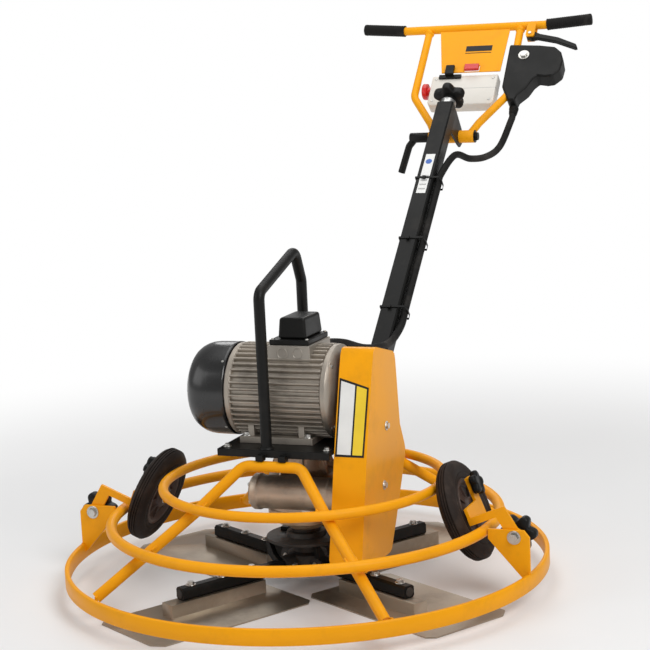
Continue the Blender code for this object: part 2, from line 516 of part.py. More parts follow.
for name, s in (("grip_left", -1), ("grip_right", 1)):
    axis = (head(s * (BAR_HALF + tip.x), BAR_E + tip.y) - head(s * BAR_HALF, BAR_E)).normalized()
    start = head(s * BAR_HALF, BAR_E) + axis * 0.0060
    make(name, lathe([(0, 0.1075), (0.0109, 0.1075), (0.0109, 0), (GRIP_R, 0), (GRIP_R, 0.1070), (GRIP_R - 0.003, 0.1100), (0, 0.1100)], start, axis, 20), "rubber", origin=start)

panel = make("control_panel", prism([(-0.086, 0.3300), (0.092, 0.3300), (0.088, 0.1960), (-0.060, 0.1960)], head(0, 0, 0.0020), XV, EV, GV * 0.0030), "yellow", origin=HEAD)
cut(panel, prism([(-0.0023, 0.1982), (0.0343, 0.1982), (0.0343, 0.2158), (-0.0023, 0.2158)], head(0, 0, 0), XV, EV, GV * 0.0080))

case = make("switch_box", prism([(-0.0770, 0.1000), (0.0770, 0.1000), (0.0830, 0.1100), (0.0830, 0.1915), (-0.0830, 0.1915), (-0.0830, 0.1100)], head(0, 0, -0.0300), XV, EV, GV * 0.0290), "box_white", origin=HEAD)
bev = case.modifiers.new("edge_radius", "BEVEL")
bev.width = 0.003
bev.segments = 2
bev.limit_method = "ANGLE"
cut(case, rod(head(-0.0900, 0.1550, -0.0155), head(-0.0765, 0.1550, -0.0155), 0.0115, 24))

stop_base = head(-0.0833, 0.1550, -0.0155)
stop = make("emergency_stop", lathe([(0, 0), (0.0110, 0), (0.0110, 0.0070), (0.0200, 0.0090), (0.0200, 0.0190), (0.0170, 0.0215), (0, 0.0215)], stop_base, -XV, 24), "red", origin=stop_base)

switch_base = head(0.0160, 0.2070, 0.0053)
make("start_switch", prism([(-0.0180, -0.0085), (0.0180, -0.0085), (0.0180, 0.0085), (-0.0180, 0.0085)], switch_base, XV, EV, GV * 0.0085), "red", origin=switch_base)

lever = make("deadman_lever", prism([(0.1370, 0.3000), (0.1500, 0.2945), (0.1650, 0.2970), (0.2120, 0.2840), (0.2620, 0.2605), (0.2680, 0.2620), (0.2640, 0.2710), (0.2150, 0.2960),
                                     (0.1700, 0.3090), (0.1560, 0.3170), (0.1380, 0.3150)], head(0, 0, -0.0060), XV, EV, GV * 0.0120), "black_plastic", origin=lever_pivot)
cut(lever, rod(lever_pivot - GV * 0.02, lever_pivot + GV * 0.02, 0.0034, 12))

INLET = [(0.1010, 0.2750), (0.2186, 0.2637), (0.2422, 0.2153), (0.2061, 0.1551), (0.1846, 0.1623), (0.1798, 0.1455), (0.1455, 0.0960), (0.1215, 0.0960), (0.1010, 0.1400)]
inlet = make("inlet_housing", prism(INLET, head(0, 0, -0.0450), XV, EV, GV * 0.0575), "black_plastic", origin=HEAD)
bev = inlet.modifiers.new("edge_radius", "BEVEL")
bev.width = 0.004
bev.segments = 2
bev.limit_method = "ANGLE"
cut(inlet, tube(fillet([head(0.0460, 0.0115), head(0.0600, 0.0400), head(0.1185, 0.1260), head(0.1165, 0.3305)], 0.030, 4), 0.0104, 12))

sleeve_top = head(0.1335, 0.0957, -0.016)
make("cable_sleeve", lathe([(0, 0), (0.0115, 0), (0.0115, 0.0050), (0.0095, 0.0200), (0, 0.0200)], sleeve_top, -EV, 16), "rubber", origin=sleeve_top)

# clamp lever: L-shaped handle whose stud runs right through the sleeve to a nut
lever2 = make("clamp_lever", rod(head(-0.0565, 0), head(-0.1040, 0), 0.0120, 16), "black_plastic", origin=HEAD)
union(lever2, rod(head(-0.0700, 0), head(0.0600, 0), 0.0058, 14), rod(head(0.0565, 0), head(0.0640, 0), 0.0105, 6),
      tube([head(-0.0960, 0), head(-0.1080, 0) + Vector((0, 0, -0.020)), head(-0.1300, 0) + Vector((0, 0, -0.083))], 0.0085, 10))

# ------------------------------------------------------------------ supply cable
CABLE_R = 0.008


def cable(name, points):
    curve = bpy.data.curves.new(name, "CURVE")
    curve.dimensions = "3D"
    curve.bevel_depth = CABLE_R
    curve.bevel_resolution = 2
    curve.resolution_u = 1
    curve.render_resolution_u = 0
    curve.use_fill_caps = True
    spline = curve.splines.new("POLY")
    spline.points.add(len(points) - 1)
    for sp, p in zip(spline.points, points):
        sp.co = (p.x, p.y, p.z, 1.0)
    obj = bpy.data.objects.new(name, curve)
    bpy.context.scene.collection.objects.link(obj)
    obj.data.materials.append(material(name + "_finish", "rubber"))
    return obj


cable_x = COL_X + COL_HALF + CABLE_R + 0.0006


def beside_column(s):
    p = COLUMN + CD * s
    return Vector((cable_x, p.y, p.z))


plug_end = sleeve_top - EV * (0.0200 + GAP)
loop_points = [plug_end - EV * 0.010, Vector((0.1493, 0.9600, 0.7728)), Vector((0.1256, 0.9200, 0.7515)), Vector((0.0937, 0.8950, 0.7494)), Vector((0.0755, 0.8350, 0.7625)),
               beside_column(0.500), beside_column(0.470)]
cable("cable_loop", [plug_end] + smooth_path(loop_points, 5) + [beside_column(0.460)])
low_end = Vector((0.035, MOTOR_Y + 0.066 + GAP, 0.4550))
run_points = [beside_column(0.460) - CD * GAP] + [beside_column(0.46 - 0.40 * k / 8) for k in range(1, 9)]
run_points += [Vector((0.0645, 0.360, 0.4080)), Vector((0.0630, 0.285, 0.4100)), Vector((0.0560, 0.210, 0.4220)), Vector((0.0450, 0.140, 0.4440)),
               Vector((0.0360, 0.085, 0.4550)), Vector((0.0350, 0.060, 0.4550))]
cable("cable_run", smooth_path(run_points, 3) + [low_end])

# ------------------------------------------------------------------ transport wheels, folded up inside the guard
for tag, side in (("left", -1), ("right", 1)):
    centre = Vector((side * WHEEL_X, WHEEL_Y, WHEEL_Z))
    n = Vector((side * math.cos(WHEEL_LEAN), 0, math.sin(WHEEL_LEAN)))      # axle, pointing outwards
    t = Vector((-side * math.sin(WHEEL_LEAN), 0, math.cos(WHEEL_LEAN)))     # up the face of the wheel
    yv = Vector((0, 1, 0))
    pivot = Vector((side * PIVOT_X, PIVOT_Y, PIVOT_Z))
    ph, ps = (pivot - centre).dot(n), (pivot - centre).dot(t)
    hw = WHEEL_HALF
    make("wheel_tyre_" + tag, lathe([(0.0606, -hw + 0.001), (0.0850, -hw), (0.0935, -hw + 0.004), (WHEEL_R, -hw + 0.011), (WHEEL_R, hw - 0.011), (0.0935, hw - 0.004), (0.0850, hw), (0.0606, hw - 0.001)],
                                    centre, n, 36), "rubber", origin=centre)
    make("wheel_hub_" + tag, lathe([(0.0066, -0.0180), (0.0220, -0.0180), (0.0240, -0.0090), (0.0500, -0.0060), (0.0530, -0.0150), (0.0602, -0.0150), (0.0602, 0.0150), (0.0530, 0.0150),
                                    (0.0500, 0.0060), (0.0240, 0.0090), (0.0220, 0.0180), (0.0066, 0.0180)], centre, n, 28), "black_plastic", origin=centre)
    plane = centre.copy()
    plane.y = -0.0567
    arm = make("wheel_arm_" + tag, prism([(ph + 0.0120, ps + 0.001), (ph + 0.0030, -0.0065), (0.0200, -0.0065), (0.0200, -0.0205), (ph - 0.0190, -0.0205), (ph - 0.0120, ps + 0.001)],
                                         plane, n, t, yv * 0.0060), "yellow", origin=pivot)
    union(arm, rod(pivot + yv * 0.0033, pivot + yv * 0.0093, 0.0160, 20),
          prism([(-0.0198, -0.0561), (0.0120, -0.0561), (0.0120, 0.0080), (0.0560, 0.0100), (0.0560, 0.0340), (-0.0198, 0.0340)], Vector((centre.x, 0, centre.z)) + n * 0.0205, t, yv, n * 0.0060),
          rod(centre - n * 0.0220, centre + n * 0.0230, 0.0062, 14),
          rod(centre - n * 0.0240, centre - n * 0.0184, 0.0110, 6))
    cut(arm, rod(pivot - yv * 0.02, pivot + yv * 0.03, 0.0064, 14))
    stow = centre + n * 0.0268 + t * 0.040 + yv * 0.014
    star_knob("stow_knob_" + tag, stow, n, 0.0240, 0.0140, 0.0030, None, 5)
    grip = pivot + yv * 0.0096
    knob = star_knob("clamp_knob_" + tag, grip, yv, 0.0360, 0.0260, 0.0080, (0.0060, 0.0180), 6)
    union(knob, rod(pivot - yv * 0.0033, pivot - yv * 0.0095, 0.0095, 6))

# ------------------------------------------------------------------ place the origin under the middle of the foot print
for obj in bpy.data.objects:
    if obj.parent is None:
        obj.location.y += SHIFT_Y
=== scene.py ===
import json
import math
import bpy
import bmesh
from mathutils import Vector, Matrix

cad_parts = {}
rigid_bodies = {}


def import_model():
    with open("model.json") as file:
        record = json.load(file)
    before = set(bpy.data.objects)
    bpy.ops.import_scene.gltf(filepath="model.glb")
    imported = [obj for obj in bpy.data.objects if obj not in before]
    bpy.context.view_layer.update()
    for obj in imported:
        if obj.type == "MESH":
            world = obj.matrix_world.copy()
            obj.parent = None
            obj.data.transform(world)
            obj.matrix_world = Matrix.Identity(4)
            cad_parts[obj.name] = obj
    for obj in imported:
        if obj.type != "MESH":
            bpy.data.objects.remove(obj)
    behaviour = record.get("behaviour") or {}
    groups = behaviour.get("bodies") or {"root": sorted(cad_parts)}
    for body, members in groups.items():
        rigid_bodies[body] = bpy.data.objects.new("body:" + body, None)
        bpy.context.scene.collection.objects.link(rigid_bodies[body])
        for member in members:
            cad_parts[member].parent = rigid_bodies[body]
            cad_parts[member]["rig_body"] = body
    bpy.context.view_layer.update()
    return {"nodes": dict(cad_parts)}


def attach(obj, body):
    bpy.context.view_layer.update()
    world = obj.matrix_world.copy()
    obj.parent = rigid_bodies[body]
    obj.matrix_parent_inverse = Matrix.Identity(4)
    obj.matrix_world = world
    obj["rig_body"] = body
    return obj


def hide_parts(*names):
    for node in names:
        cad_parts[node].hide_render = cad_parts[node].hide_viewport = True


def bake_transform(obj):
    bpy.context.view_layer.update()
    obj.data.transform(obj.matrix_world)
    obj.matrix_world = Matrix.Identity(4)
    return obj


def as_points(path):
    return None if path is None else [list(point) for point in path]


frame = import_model()
nodes = frame["nodes"]

# ------------------------------------------------------------------ dimensions shared with the CAD, measured from the rotor axis
SHIFT_Y = -0.36585
GAP = 0.0003
RING1_R, RING1_T, RING1_Z0, RING1_Z1 = 0.465, 0.009, 0.030, 0.060
RING2_R, RING2_T, RING2_Z = 0.376, 0.0105, 0.132
RING3_R, RING3_T, RING3_Z = 0.272, 0.0095, 0.199
HOOP_T = 0.0105
HOOP_FOOT = (0.2795, 0.3455, 0.0510)
HOOP_KNEE = (0.1327, 0.2178, 0.1837)
HOOP_BEND = (0.057, 0.152, 0.262)
PLATE_X0, PLATE_X1, PLATE_Y0, PLATE_Y1 = -0.113, 0.112, -0.146, 0.205
PLATE_Z0, PLATE_Z1 = 0.2830, 0.2910
MOTOR_Y, MOTOR_Z, MOTOR_R = -0.025, 0.383, 0.090
BODY_X0, BODY_X1 = -0.110, 0.096
LIFT_X, LIFT_T = -0.018, 0.0105
WORM_Y, WORM_Z = -0.065, 0.190
GUARD_X0, GUARD_X1 = 0.116, 0.180
ARM_Z, ARM_HALF, ARM_R0, ARM_R1 = 0.040, 0.012, 0.0625, 0.300
BLADE_ANGLES = (-30.5, 59.5, 149.5, 239.5)
COL_X, COL_HALF = 0.035, 0.020
COL_P, COL_D = (0.389, 0.388), (0.7392, 0.6735)
COL_S0, COL_S1 = -0.105, 0.715
HEAD = Vector((0.035, 0.950, 0.798))
BAR_E, BAR_T, BAR_HALF = 0.342, 0.0105, 0.176
TUBE_T, GRIP_R = 0.0092, 0.0140
PIVOT_X, PIVOT_Z, PIVOT_Y = 0.4335, 0.1270, -0.060
WHEEL_X, WHEEL_Y, WHEEL_Z = 0.323, 0.008, 0.153
WHEEL_R, WHEEL_HALF, WHEEL_LEAN = 0.097, 0.0175, math.radians(22.2)
CABLE_R = 0.008

XV, YV, ZV = Vector((1, 0, 0)), Vector((0, 1, 0)), Vector((0, 0, 1))
COLUMN = Vector((COL_X, COL_P[0], COL_P[1]))
CD = Vector((0, COL_D[0], COL_D[1])).normalized()
CM = Vector((0, -CD.z, CD.y))
EV = Vector((0, 0.6718, 0.7407)).normalized()
GV = Vector((0, -EV.z, EV.y))


def head(x, e, g=0.0):
    return HEAD + XV * x + EV * e + GV * g


# ------------------------------------------------------------------ materials
def tint(c, k):
    return tuple(min(1.0, max(0.0, x * k)) for x in c) + (1.0,)


def surface(name, base, rough, metallic=0.0, shine=0.5, tone=0.06, tone_scale=7.0, grain=350.0, bump=0.06, depth=0.0006, rvar=0.07, coat=0.0,
            stretch=(1, 1, 1), dirt=None, dirt_amount=0.0, dirt_scale=14.0, detail=4.0):
    """Principled surface whose tone, dirt, roughness and grain come from noise in object space."""
    m = bpy.data.materials.new(name)
    m.use_nodes = True
    nt = m.node_tree
    new, link = nt.nodes.new, nt.links.new
    bsdf = nt.nodes["Principled BSDF"]
    bsdf.inputs["Metallic"].default_value = metallic
    bsdf.inputs["Specular IOR Level"].default_value = shine
    bsdf.inputs["Coat Weight"].default_value = coat
    bsdf.inputs["Coat Roughness"].default_value = 0.12
    tc = new("ShaderNodeTexCoord")
    mp = new("ShaderNodeMapping")
    mp.inputs["Scale"].default_value = stretch
    link(tc.outputs["Object"], mp.inputs["Vector"])
    big = new("ShaderNodeTexNoise")
    big.inputs["Scale"].default_value = tone_scale
    big.inputs["Detail"].default_value = detail
    link(mp.outputs["Vector"], big.inputs["Vector"])
    ramp = new("ShaderNodeValToRGB")
    ramp.color_ramp.elements[0].position, ramp.color_ramp.elements[1].position = 0.32, 0.68
    ramp.color_ramp.elements[0].color = tint(base, 1 - tone)
    ramp.color_ramp.elements[1].color = tint(base, 1 + tone)
    link(big.outputs["Fac"], ramp.inputs["Fac"])
    colour = ramp.outputs["Color"]
    fine = new("ShaderNodeTexNoise")
    fine.inputs["Scale"].default_value = grain
    fine.inputs["Detail"].default_value = 2.0
    link(mp.outputs["Vector"], fine.inputs["Vector"])
    if dirt:
        patch = new("ShaderNodeTexNoise")
        patch.inputs["Scale"].default_value = dirt_scale
        patch.inputs["Detail"].default_value = 7.0
        patch.inputs["Roughness"].default_value = 0.65
        link(mp.outputs["Vector"], patch.inputs["Vector"])
        mask = new("ShaderNodeMapRange")
        mask.inputs["From Min"].default_value = 0.50
        mask.inputs["From Max"].default_value = 0.72
        mask.inputs["To Max"].default_value = dirt_amount
        link(patch.outputs["Fac"], mask.inputs["Value"])
        mix = new("ShaderNodeMix")
        mix.data_type = "RGBA"
        link(mask.outputs["Result"], mix.inputs["Factor"])
        link(colour, mix.inputs["A"])
        mix.inputs["B"].default_value = tuple(dirt) + (1.0,)
        colour = mix.outputs["Result"]
    link(colour, bsdf.inputs["Base Color"])
    rr = new("ShaderNodeMapRange")
    rr.inputs["From Min"].default_value, rr.inputs["From Max"].default_value = 0.3, 0.7
    rr.inputs["To Min"].default_value, rr.inputs["To Max"].default_value = max(0.04, rough - rvar), min(1.0, rough + rvar)
    link(big.outputs["Fac"], rr.inputs["Value"])
    link(rr.outputs["Result"], bsdf.inputs["Roughness"])
    bp = new("ShaderNodeBump")
    bp.inputs["Strength"].default_value = bump
    bp.inputs["Distance"].default_value = depth
    link(fine.outputs["Fac"], bp.inputs["Height"])
    link(bp.outputs["Normal"], bsdf.inputs["Normal"])
    return m


YELLOW = surface("yellow_powder_coat", (0.90, 0.370, 0.003), 0.42, shine=0.16, tone=0.05, tone_scale=5.0, grain=260.0, bump=0.10, depth=0.0004, coat=0.02,
                 dirt=(0.52, 0.22, 0.015), dirt_amount=0.30)
BLACK = surface("black_powder_coat", (0.006, 0.006, 0.0055), 0.42, shine=0.20, tone=0.12, grain=300.0, bump=0.14, depth=0.0005, dirt=(0.045, 0.040, 0.034), dirt_amount=0.30)
COWL = surface("gloss_black_cowl", (0.010, 0.010, 0.010), 0.26, tone=0.10, tone_scale=12.0, grain=500.0, bump=0.10, depth=0.0003, coat=0.25)
PLASTIC = surface("black_moulded_plastic", (0.006, 0.006, 0.0055), 0.44, shine=0.20, tone=0.10, tone_scale=16.0, grain=900.0, bump=0.20, depth=0.0004,
                  dirt=(0.035, 0.032, 0.027), dirt_amount=0.25)
RUBBER = surface("black_rubber", (0.008, 0.0075, 0.007), 0.72, shine=0.20, tone=0.16, tone_scale=20.0, grain=700.0, bump=0.30, depth=0.0005, dirt=(0.085, 0.075, 0.066), dirt_amount=0.4)
TYRE = surface("tyre_rubber", (0.020, 0.013, 0.010), 0.66, shine=0.20, tone=0.18, tone_scale=18.0, grain=520.0, bump=0.35, depth=0.0006, dirt=(0.085, 0.060, 0.045), dirt_amount=0.40,
               dirt_scale=24.0)
HUB = surface("moulded_hub_plastic", (0.060, 0.034, 0.026), 0.50, tone=0.15, tone_scale=16.0, grain=700.0, bump=0.2, depth=0.0004, dirt=(0.16, 0.13, 0.11), dirt_amount=0.3)
CAST = surface("cast_aluminium", (0.60, 0.50, 0.40), 0.42, 0.85, tone=0.13, tone_scale=14.0, grain=420.0, bump=0.45, depth=0.0008, rvar=0.10,
               dirt=(0.20, 0.185, 0.165), dirt_amount=0.5, dirt_scale=22.0)
MOTOR = surface("motor_casting", (0.42, 0.375, 0.32), 0.48, 0.80, tone=0.14, tone_scale=12.0, grain=380.0, bump=0.5, depth=0.0008, rvar=0.10,
                dirt=(0.09, 0.08, 0.07), dirt_amount=0.45, dirt_scale=18.0)
BOXGREY = surface("terminal_box_casting", (0.34, 0.31, 0.27), 0.46, 0.7, tone=0.10, tone_scale=16.0, grain=420.0, bump=0.4, depth=0.0006)
BEIGE = surface("bare_cast_cover", (0.60, 0.46, 0.32), 0.45, 0.75, tone=0.12, tone_scale=20.0, grain=500.0, bump=0.4, depth=0.0006, dirt=(0.26, 0.21, 0.15), dirt_amount=0.5)
BLADE = surface("rolled_blade_steel", (0.40, 0.345, 0.275), 0.40, 0.85, tone=0.16, tone_scale=5.0, grain=160.0, bump=0.16, depth=0.0004, rvar=0.12, stretch=(1, 1, 1),
                dirt=(0.16, 0.13, 0.10), dirt_amount=0.55, dirt_scale=9.0, detail=8.0)
STEEL = surface("machined_steel", (0.52, 0.52, 0.51), 0.28, 1.0, tone=0.08, tone_scale=24.0, grain=600.0, bump=0.12, depth=0.0003, rvar=0.08)
ZINC = surface("zinc_plated_bolt", (0.56, 0.55, 0.52), 0.30, 1.0, tone=0.14, tone_scale=40.0, grain=800.0, bump=0.15, depth=0.0003, rvar=0.1, dirt=(0.22, 0.2, 0.17), dirt_amount=0.4,
               dirt_scale=60.0)
IRON = surface("black_cast_iron", (0.040, 0.037, 0.034), 0.55, 0.3, tone=0.2, tone_scale=18.0, grain=300.0, bump=0.6, depth=0.001, dirt=(0.13, 0.11, 0.09), dirt_amount=0.5)
WHITE = surface("ivory_moulded_plastic", (0.72, 0.69, 0.63), 0.44, tone=0.04, tone_scale=10.0, grain=800.0, bump=0.12, depth=0.0003, dirt=(0.50, 0.46, 0.38), dirt_amount=0.25)
RED = surface("red_gloss_plastic", (0.62, 0.012, 0.010), 0.28, tone=0.08, tone_scale=20.0, grain=900.0, bump=0.06, depth=0.0003, coat=0.3)
L_WHITE = surface("label_white", (0.78, 0.78, 0.76), 0.40, tone=0.03, tone_scale=30.0, grain=900.0, bump=0.05, depth=0.0002)
L_BLACK = surface("label_black", (0.018, 0.018, 0.018), 0.40, shine=0.20, tone=0.08, tone_scale=30.0, grain=900.0, bump=0.05, depth=0.0002)
L_YELLOW = surface("label_yellow", (0.85, 0.60, 0.03), 0.38, tone=0.04, tone_scale=30.0, grain=900.0, bump=0.05, depth=0.0002)
L_BLUE = surface("label_blue", (0.03, 0.12, 0.45), 0.40, tone=0.06, tone_scale=30.0, grain=900.0, bump=0.05, depth=0.0002)
L_GREY = surface("label_grey", (0.42, 0.42, 0.41), 0.45, tone=0.05, tone_scale=30.0, grain=900.0, bump=0.05, depth=0.0002)


# ------------------------------------------------------------------ shape builders
def prism(outline, origin, ux, uy, depth):
    bm = bmesh.new()
    origin, ux, uy, depth = Vector(origin), Vector(ux), Vector(uy), Vector(depth)
    face = bm.faces.new([bm.verts.new(origin + ux * a + uy * b) for a, b in outline])
    out = bmesh.ops.extrude_face_region(bm, geom=[face])
    bmesh.ops.translate(bm, verts=[v for v in out["geom"] if isinstance(v, bmesh.types.BMVert)], vec=depth)
    bmesh.ops.recalc_face_normals(bm, faces=bm.faces)
    return bm


def box(x0, x1, y0, y1, z0, z1):
    return prism([(x0, y0), (x1, y0), (x1, y1), (x0, y1)], (0, 0, z0), XV, YV, (0, 0, z1 - z0))


def side_frame(axis):
    axis = Vector(axis).normalized()
    ref = ZV if abs(axis.z) < 0.9 else XV
    u = ref.cross(axis).normalized()
    return axis, u, axis.cross(u)


def lathe(profile, centre, axis, steps=48):
    axis, u, _ = side_frame(axis)
    centre = Vector(centre)
    bm = bmesh.new()
    verts = [bm.verts.new(centre + axis * h + u * r) for r, h in profile]
    edges = [bm.edges.new(pair) for pair in zip(verts[:-1], verts[1:])]
    if profile[0][0] > 1e-6:
        edges.append(bm.edges.new((verts[-1], verts[0])))
    bmesh.ops.spin(bm, geom=verts + edges, cent=centre, axis=axis, angle=2 * math.pi, steps=steps, use_merge=True)
    bmesh.ops.remove_doubles(bm, verts=bm.verts, dist=1e-6)
    bmesh.ops.recalc_face_normals(bm, faces=bm.faces)
    return bm


def rod(p, q, r, steps=24, chamfer=0.0):
    p, q = Vector(p), Vector(q)
    h = (q - p).length
    c = chamfer
    prof = [(0, 0), (r, 0), (r, h), (0, h)] if not c else [(0, 0), (r - c, 0), (r, c), (r, h - c), (r - c, h), (0, h)]
    return lathe(prof, p, q - p, steps)


def fillet(points, radius, steps=10):
    pts = [Vector(p) for p in points]
    out = [pts[0]]
    for a, b, c in zip(pts[:-2], pts[1:-1], pts[2:]):
        d0, d1 = (a - b).normalized(), (c - b).normalized()
        half = d0.angle(d1) / 2
        t = min(radius / math.tan(half), 0.49 * (a - b).length, 0.49 * (c - b).length)
        r = t * math.tan(half)
        mid = b + (d0 + d1).normalized() * (r / math.sin(half))
        e0, e1 = b + d0 * t - mid, b + d1 * t - mid
        for k in range(steps + 1):
            out.append(mid + e0.slerp(e1, k / steps).normalized() * r)
    out.append(pts[-1])
    return out


def tube(points, r, sides=20, radii=None):
    pts = [Vector(p) for p in points]
    bm = bmesh.new()
    d = (pts[1] - pts[0]).normalized()
    _, u, v = side_frame(d)
    last = None
    for k, p in enumerate(pts):
        d0 = (pts[k] - pts[k - 1]).normalized() if k else (pts[1] - pts[0]).normalized()
        d1 = (pts[k + 1] - pts[k]).normalized() if k + 1 < len(pts) else d0
        n = (d0 + d1).normalized()
        turn = d.rotation_difference(n)
        u, v, d = turn @ u, turn @ v, n
        rr = radii[k] if radii else r
        ring = [bm.verts.new(p + u * math.cos(2 * math.pi * (i + 0.5) / sides) * rr + v * math.sin(2 * math.pi * (i + 0.5) / sides) * rr) for i in range(sides)]
        if last:
            for i in range(sides):
                bm.faces.new((last[i], last[(i + 1) % sides], ring[(i + 1) % sides], ring[i]))
        else:
            bm.faces.new(ring[::-1])
        last = ring
    bm.faces.new(last)
    bmesh.ops.recalc_face_normals(bm, faces=bm.faces)
    return bm


def smooth_path(points, steps):
    pts = [Vector(p) for p in points]
    pts = [pts[0] * 2 - pts[1]] + pts + [pts[-1] * 2 - pts[-2]]
    out = []
    for k in range(1, len(pts) - 2):
        a, b, c, d = pts[k - 1:k + 3]
        for i in range(steps):
            t = i / steps
            out.append(0.5 * ((2 * b) + (c - a) * t + (2 * a - 5 * b + 4 * c - d) * t * t + (3 * b - a - 3 * c + d) * t ** 3))
    out.append(pts[-2])
    return out


def circle(r, n, cx=0.0, cy=0.0, a0=0.0):
    return [(cx + r * math.cos(a0 + 2 * math.pi * k / n), cy + r * math.sin(a0 + 2 * math.pi * k / n)) for k in range(n)]


def hex_bolt(base, axis, r=0.0065, h=0.005, washer=True):
    """Hex head standing on a washer, at base, facing along axis."""
    axis, u, v = side_frame(axis)
    base = Vector(base)
    lift = 0.0014 if washer else 0.0
    parts = [prism(circle(r, 6), base + axis * lift, u, v, axis * h * 0.8), prism(circle(r * 0.86, 18), base + axis * (lift + h * 0.8), u, v, axis * h * 0.2)]
    if washer:
        parts.append(lathe([(0, 0), (r * 1.42, 0), (r * 1.45, 0.0006), (r * 1.40, 0.0014), (0, 0.0014)], base, axis, 24))
    return parts


def socket_bolt(base, axis, r=0.0055, h=0.005):
    """Cap screw with a round socket."""
    return [lathe([(0, 0), (r, 0), (r, h - 0.0008), (r - 0.0008, h), (r * 0.55, h), (r * 0.5, h * 0.45), (0, h * 0.4)], base, axis, 20)]


def weld(p, q, r=0.0035, n=9):
    """A rippled weld bead from p to q."""
    p, q = Vector(p), Vector(q)
    return tube([p + (q - p) * (k / n) for k in range(n + 1)], r, 8, [r * (0.85 + 0.25 * (k % 2)) for k in range(n + 1)])


def join(parts):
    out = bmesh.new()
    for bm in parts:
        me = bpy.data.meshes.new("part")
        bm.to_mesh(me)
        out.from_mesh(me)
        bpy.data.meshes.remove(me)
        bm.free()
    return out


def finish_piece(name, bm, mat, body, replaces, bevel, smooth, segments=2):
    me = bpy.data.meshes.new(name)
    bm.to_mesh(me)
    bm.free()
    obj = bpy.data.objects.new(name, me)
    bpy.context.scene.collection.objects.link(obj)
    me.materials.append(mat)
    for poly in me.polygons:
        poly.use_smooth = True
    me.set_sharp_from_angle(angle=math.radians(smooth))
    if bevel:
        mod = obj.modifiers.new("edge", "BEVEL")
        mod.width = bevel
        mod.segments = segments
        mod.limit_method = "ANGLE"
        mod.angle_limit = math.radians(32)
        mod.harden_normals = True
    if body:
        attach(obj, body)
    if replaces:
        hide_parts(*replaces)
    return obj


def piece(name, parts, mat, body, replaces=(), bevel=0.0, smooth=38, segments=2):
    bm = join(parts if isinstance(parts, (list, tuple)) else [parts])
    bmesh.ops.translate(bm, verts=bm.verts, vec=(0, SHIFT_Y, 0))
    return finish_piece(name, bm, mat, body, replaces, bevel, smooth, segments)


def refined(node, mat, bevel, smooth=38, segments=2):
    """A copy of a CAD node with clean faces and rounded edges, shown in its place."""
    bm = bmesh.new()
    bm.from_mesh(nodes[node].data)
    bmesh.ops.remove_doubles(bm, verts=bm.verts, dist=1e-5)
    bmesh.ops.dissolve_limit(bm, angle_limit=math.radians(1.0), verts=bm.verts, edges=bm.edges)
    bmesh.ops.recalc_face_normals(bm, faces=bm.faces)
    body = nodes[node]["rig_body"]
    return finish_piece(node + ".surface", bm, mat, body, (node,), bevel, smooth, segments)


def dress(node, mat):
    """A CAD node shown as it is, with its material."""
    obj = nodes[node]
    obj.data.materials.clear()
    obj.data.materials.append(mat)


def star(base, axis, r, thick, neck, count, spin=0.0):
    """Star grip: rounded lobes, a raised middle and a neck."""
    axis, u, v = side_frame(axis)
    base = Vector(base)
    n = count * 14
    rings = [(0.86, 0.0), (0.97, 0.08), (1.0, 0.25), (1.0, 0.70), (0.96, 0.90), (0.84, 1.0), (0.50, 1.04), (0.44, 0.96)]
    bm = bmesh.new()
    rows = []
    for scale, h in rings:
        row = []
        for k in range(n):
            a = 2 * math.pi * k / n
            wave = 0.5 - 0.5 * math.cos(a * count)
            rad = r * (1.0 - 0.30 * wave ** 1.5) * scale if scale > 0.6 else r * scale
            p = base + axis * (neck + thick * h * 0.96) + u * rad * math.cos(a + spin) + v * rad * math.sin(a + spin)
            row.append(bm.verts.new(p))
        rows.append(row)
    for lo, hi in zip(rows[:-1], rows[1:]):
        for k in range(n):
            bm.faces.new((lo[k], lo[(k + 1) % n], hi[(k + 1) % n], hi[k]))
    bm.faces.new(rows[0][::-1])
    bm.faces.new(rows[-1])
    bmesh.ops.recalc_face_normals(bm, faces=bm.faces)
    return [bm, rod(base, base + axis * (neck + thick * 0.4), r * 0.42, 28, 0.0008)]


def sticker(name, outline, origin, ux, uy, normal, mat, body, lift=0.0003, t=0.0002):
    normal = Vector(normal).normalized()
    return piece(name, [prism(outline, Vector(origin) + normal * lift, ux, uy, normal * t)], mat, body)


# ------------------------------------------------------------------ guard frame
R0, R1 = RING1_R - RING1_T / 2, RING1_R + RING1_T / 2
c = 0.0012
band = lathe([(R0, RING1_Z0 + c), (R0 + c, RING1_Z0), (R1 - c, RING1_Z0), (R1, RING1_Z0 + c), (R1, RING1_Z1 - c), (R1 - c, RING1_Z1), (R0 + c, RING1_Z1), (R0, RING1_Z1 - c)],
             (0, 0, 0), ZV, 180)
webs = []
for side in (-1, 1):
    web = [(0.3840, 0.122), (0.3840, 0.141), (0.4520, 0.141), (0.4625, 0.128), (0.4625, 0.040), (0.4500, 0.048)]
    webs.append(prism([(side * a, b) for a, b in web], (0, PIVOT_Y - 0.003, 0), XV, ZV, (0, 0.006, 0)))
    webs.append(weld((side * 0.4610, PIVOT_Y - 0.0035, 0.045), (side * 0.4610, PIVOT_Y - 0.0035, 0.062), 0.0030))
ring1 = piece("guard_ring_outer.surface", [band], YELLOW, "frame", ("guard_ring_outer",), smooth=50)
piece("guard_gussets", webs, YELLOW, "frame", (), bevel=0.0012)


def round_ring(name, radius, t, z):
    n = 24
    prof = [(radius + t * math.cos(2 * math.pi * (k + 0.5) / n), z + t * math.sin(2 * math.pi * (k + 0.5) / n)) for k in range(n)]
    piece(name + ".surface", [lathe(prof, (0, 0, 0), ZV, 160)], YELLOW, "frame", (name,), smooth=60)


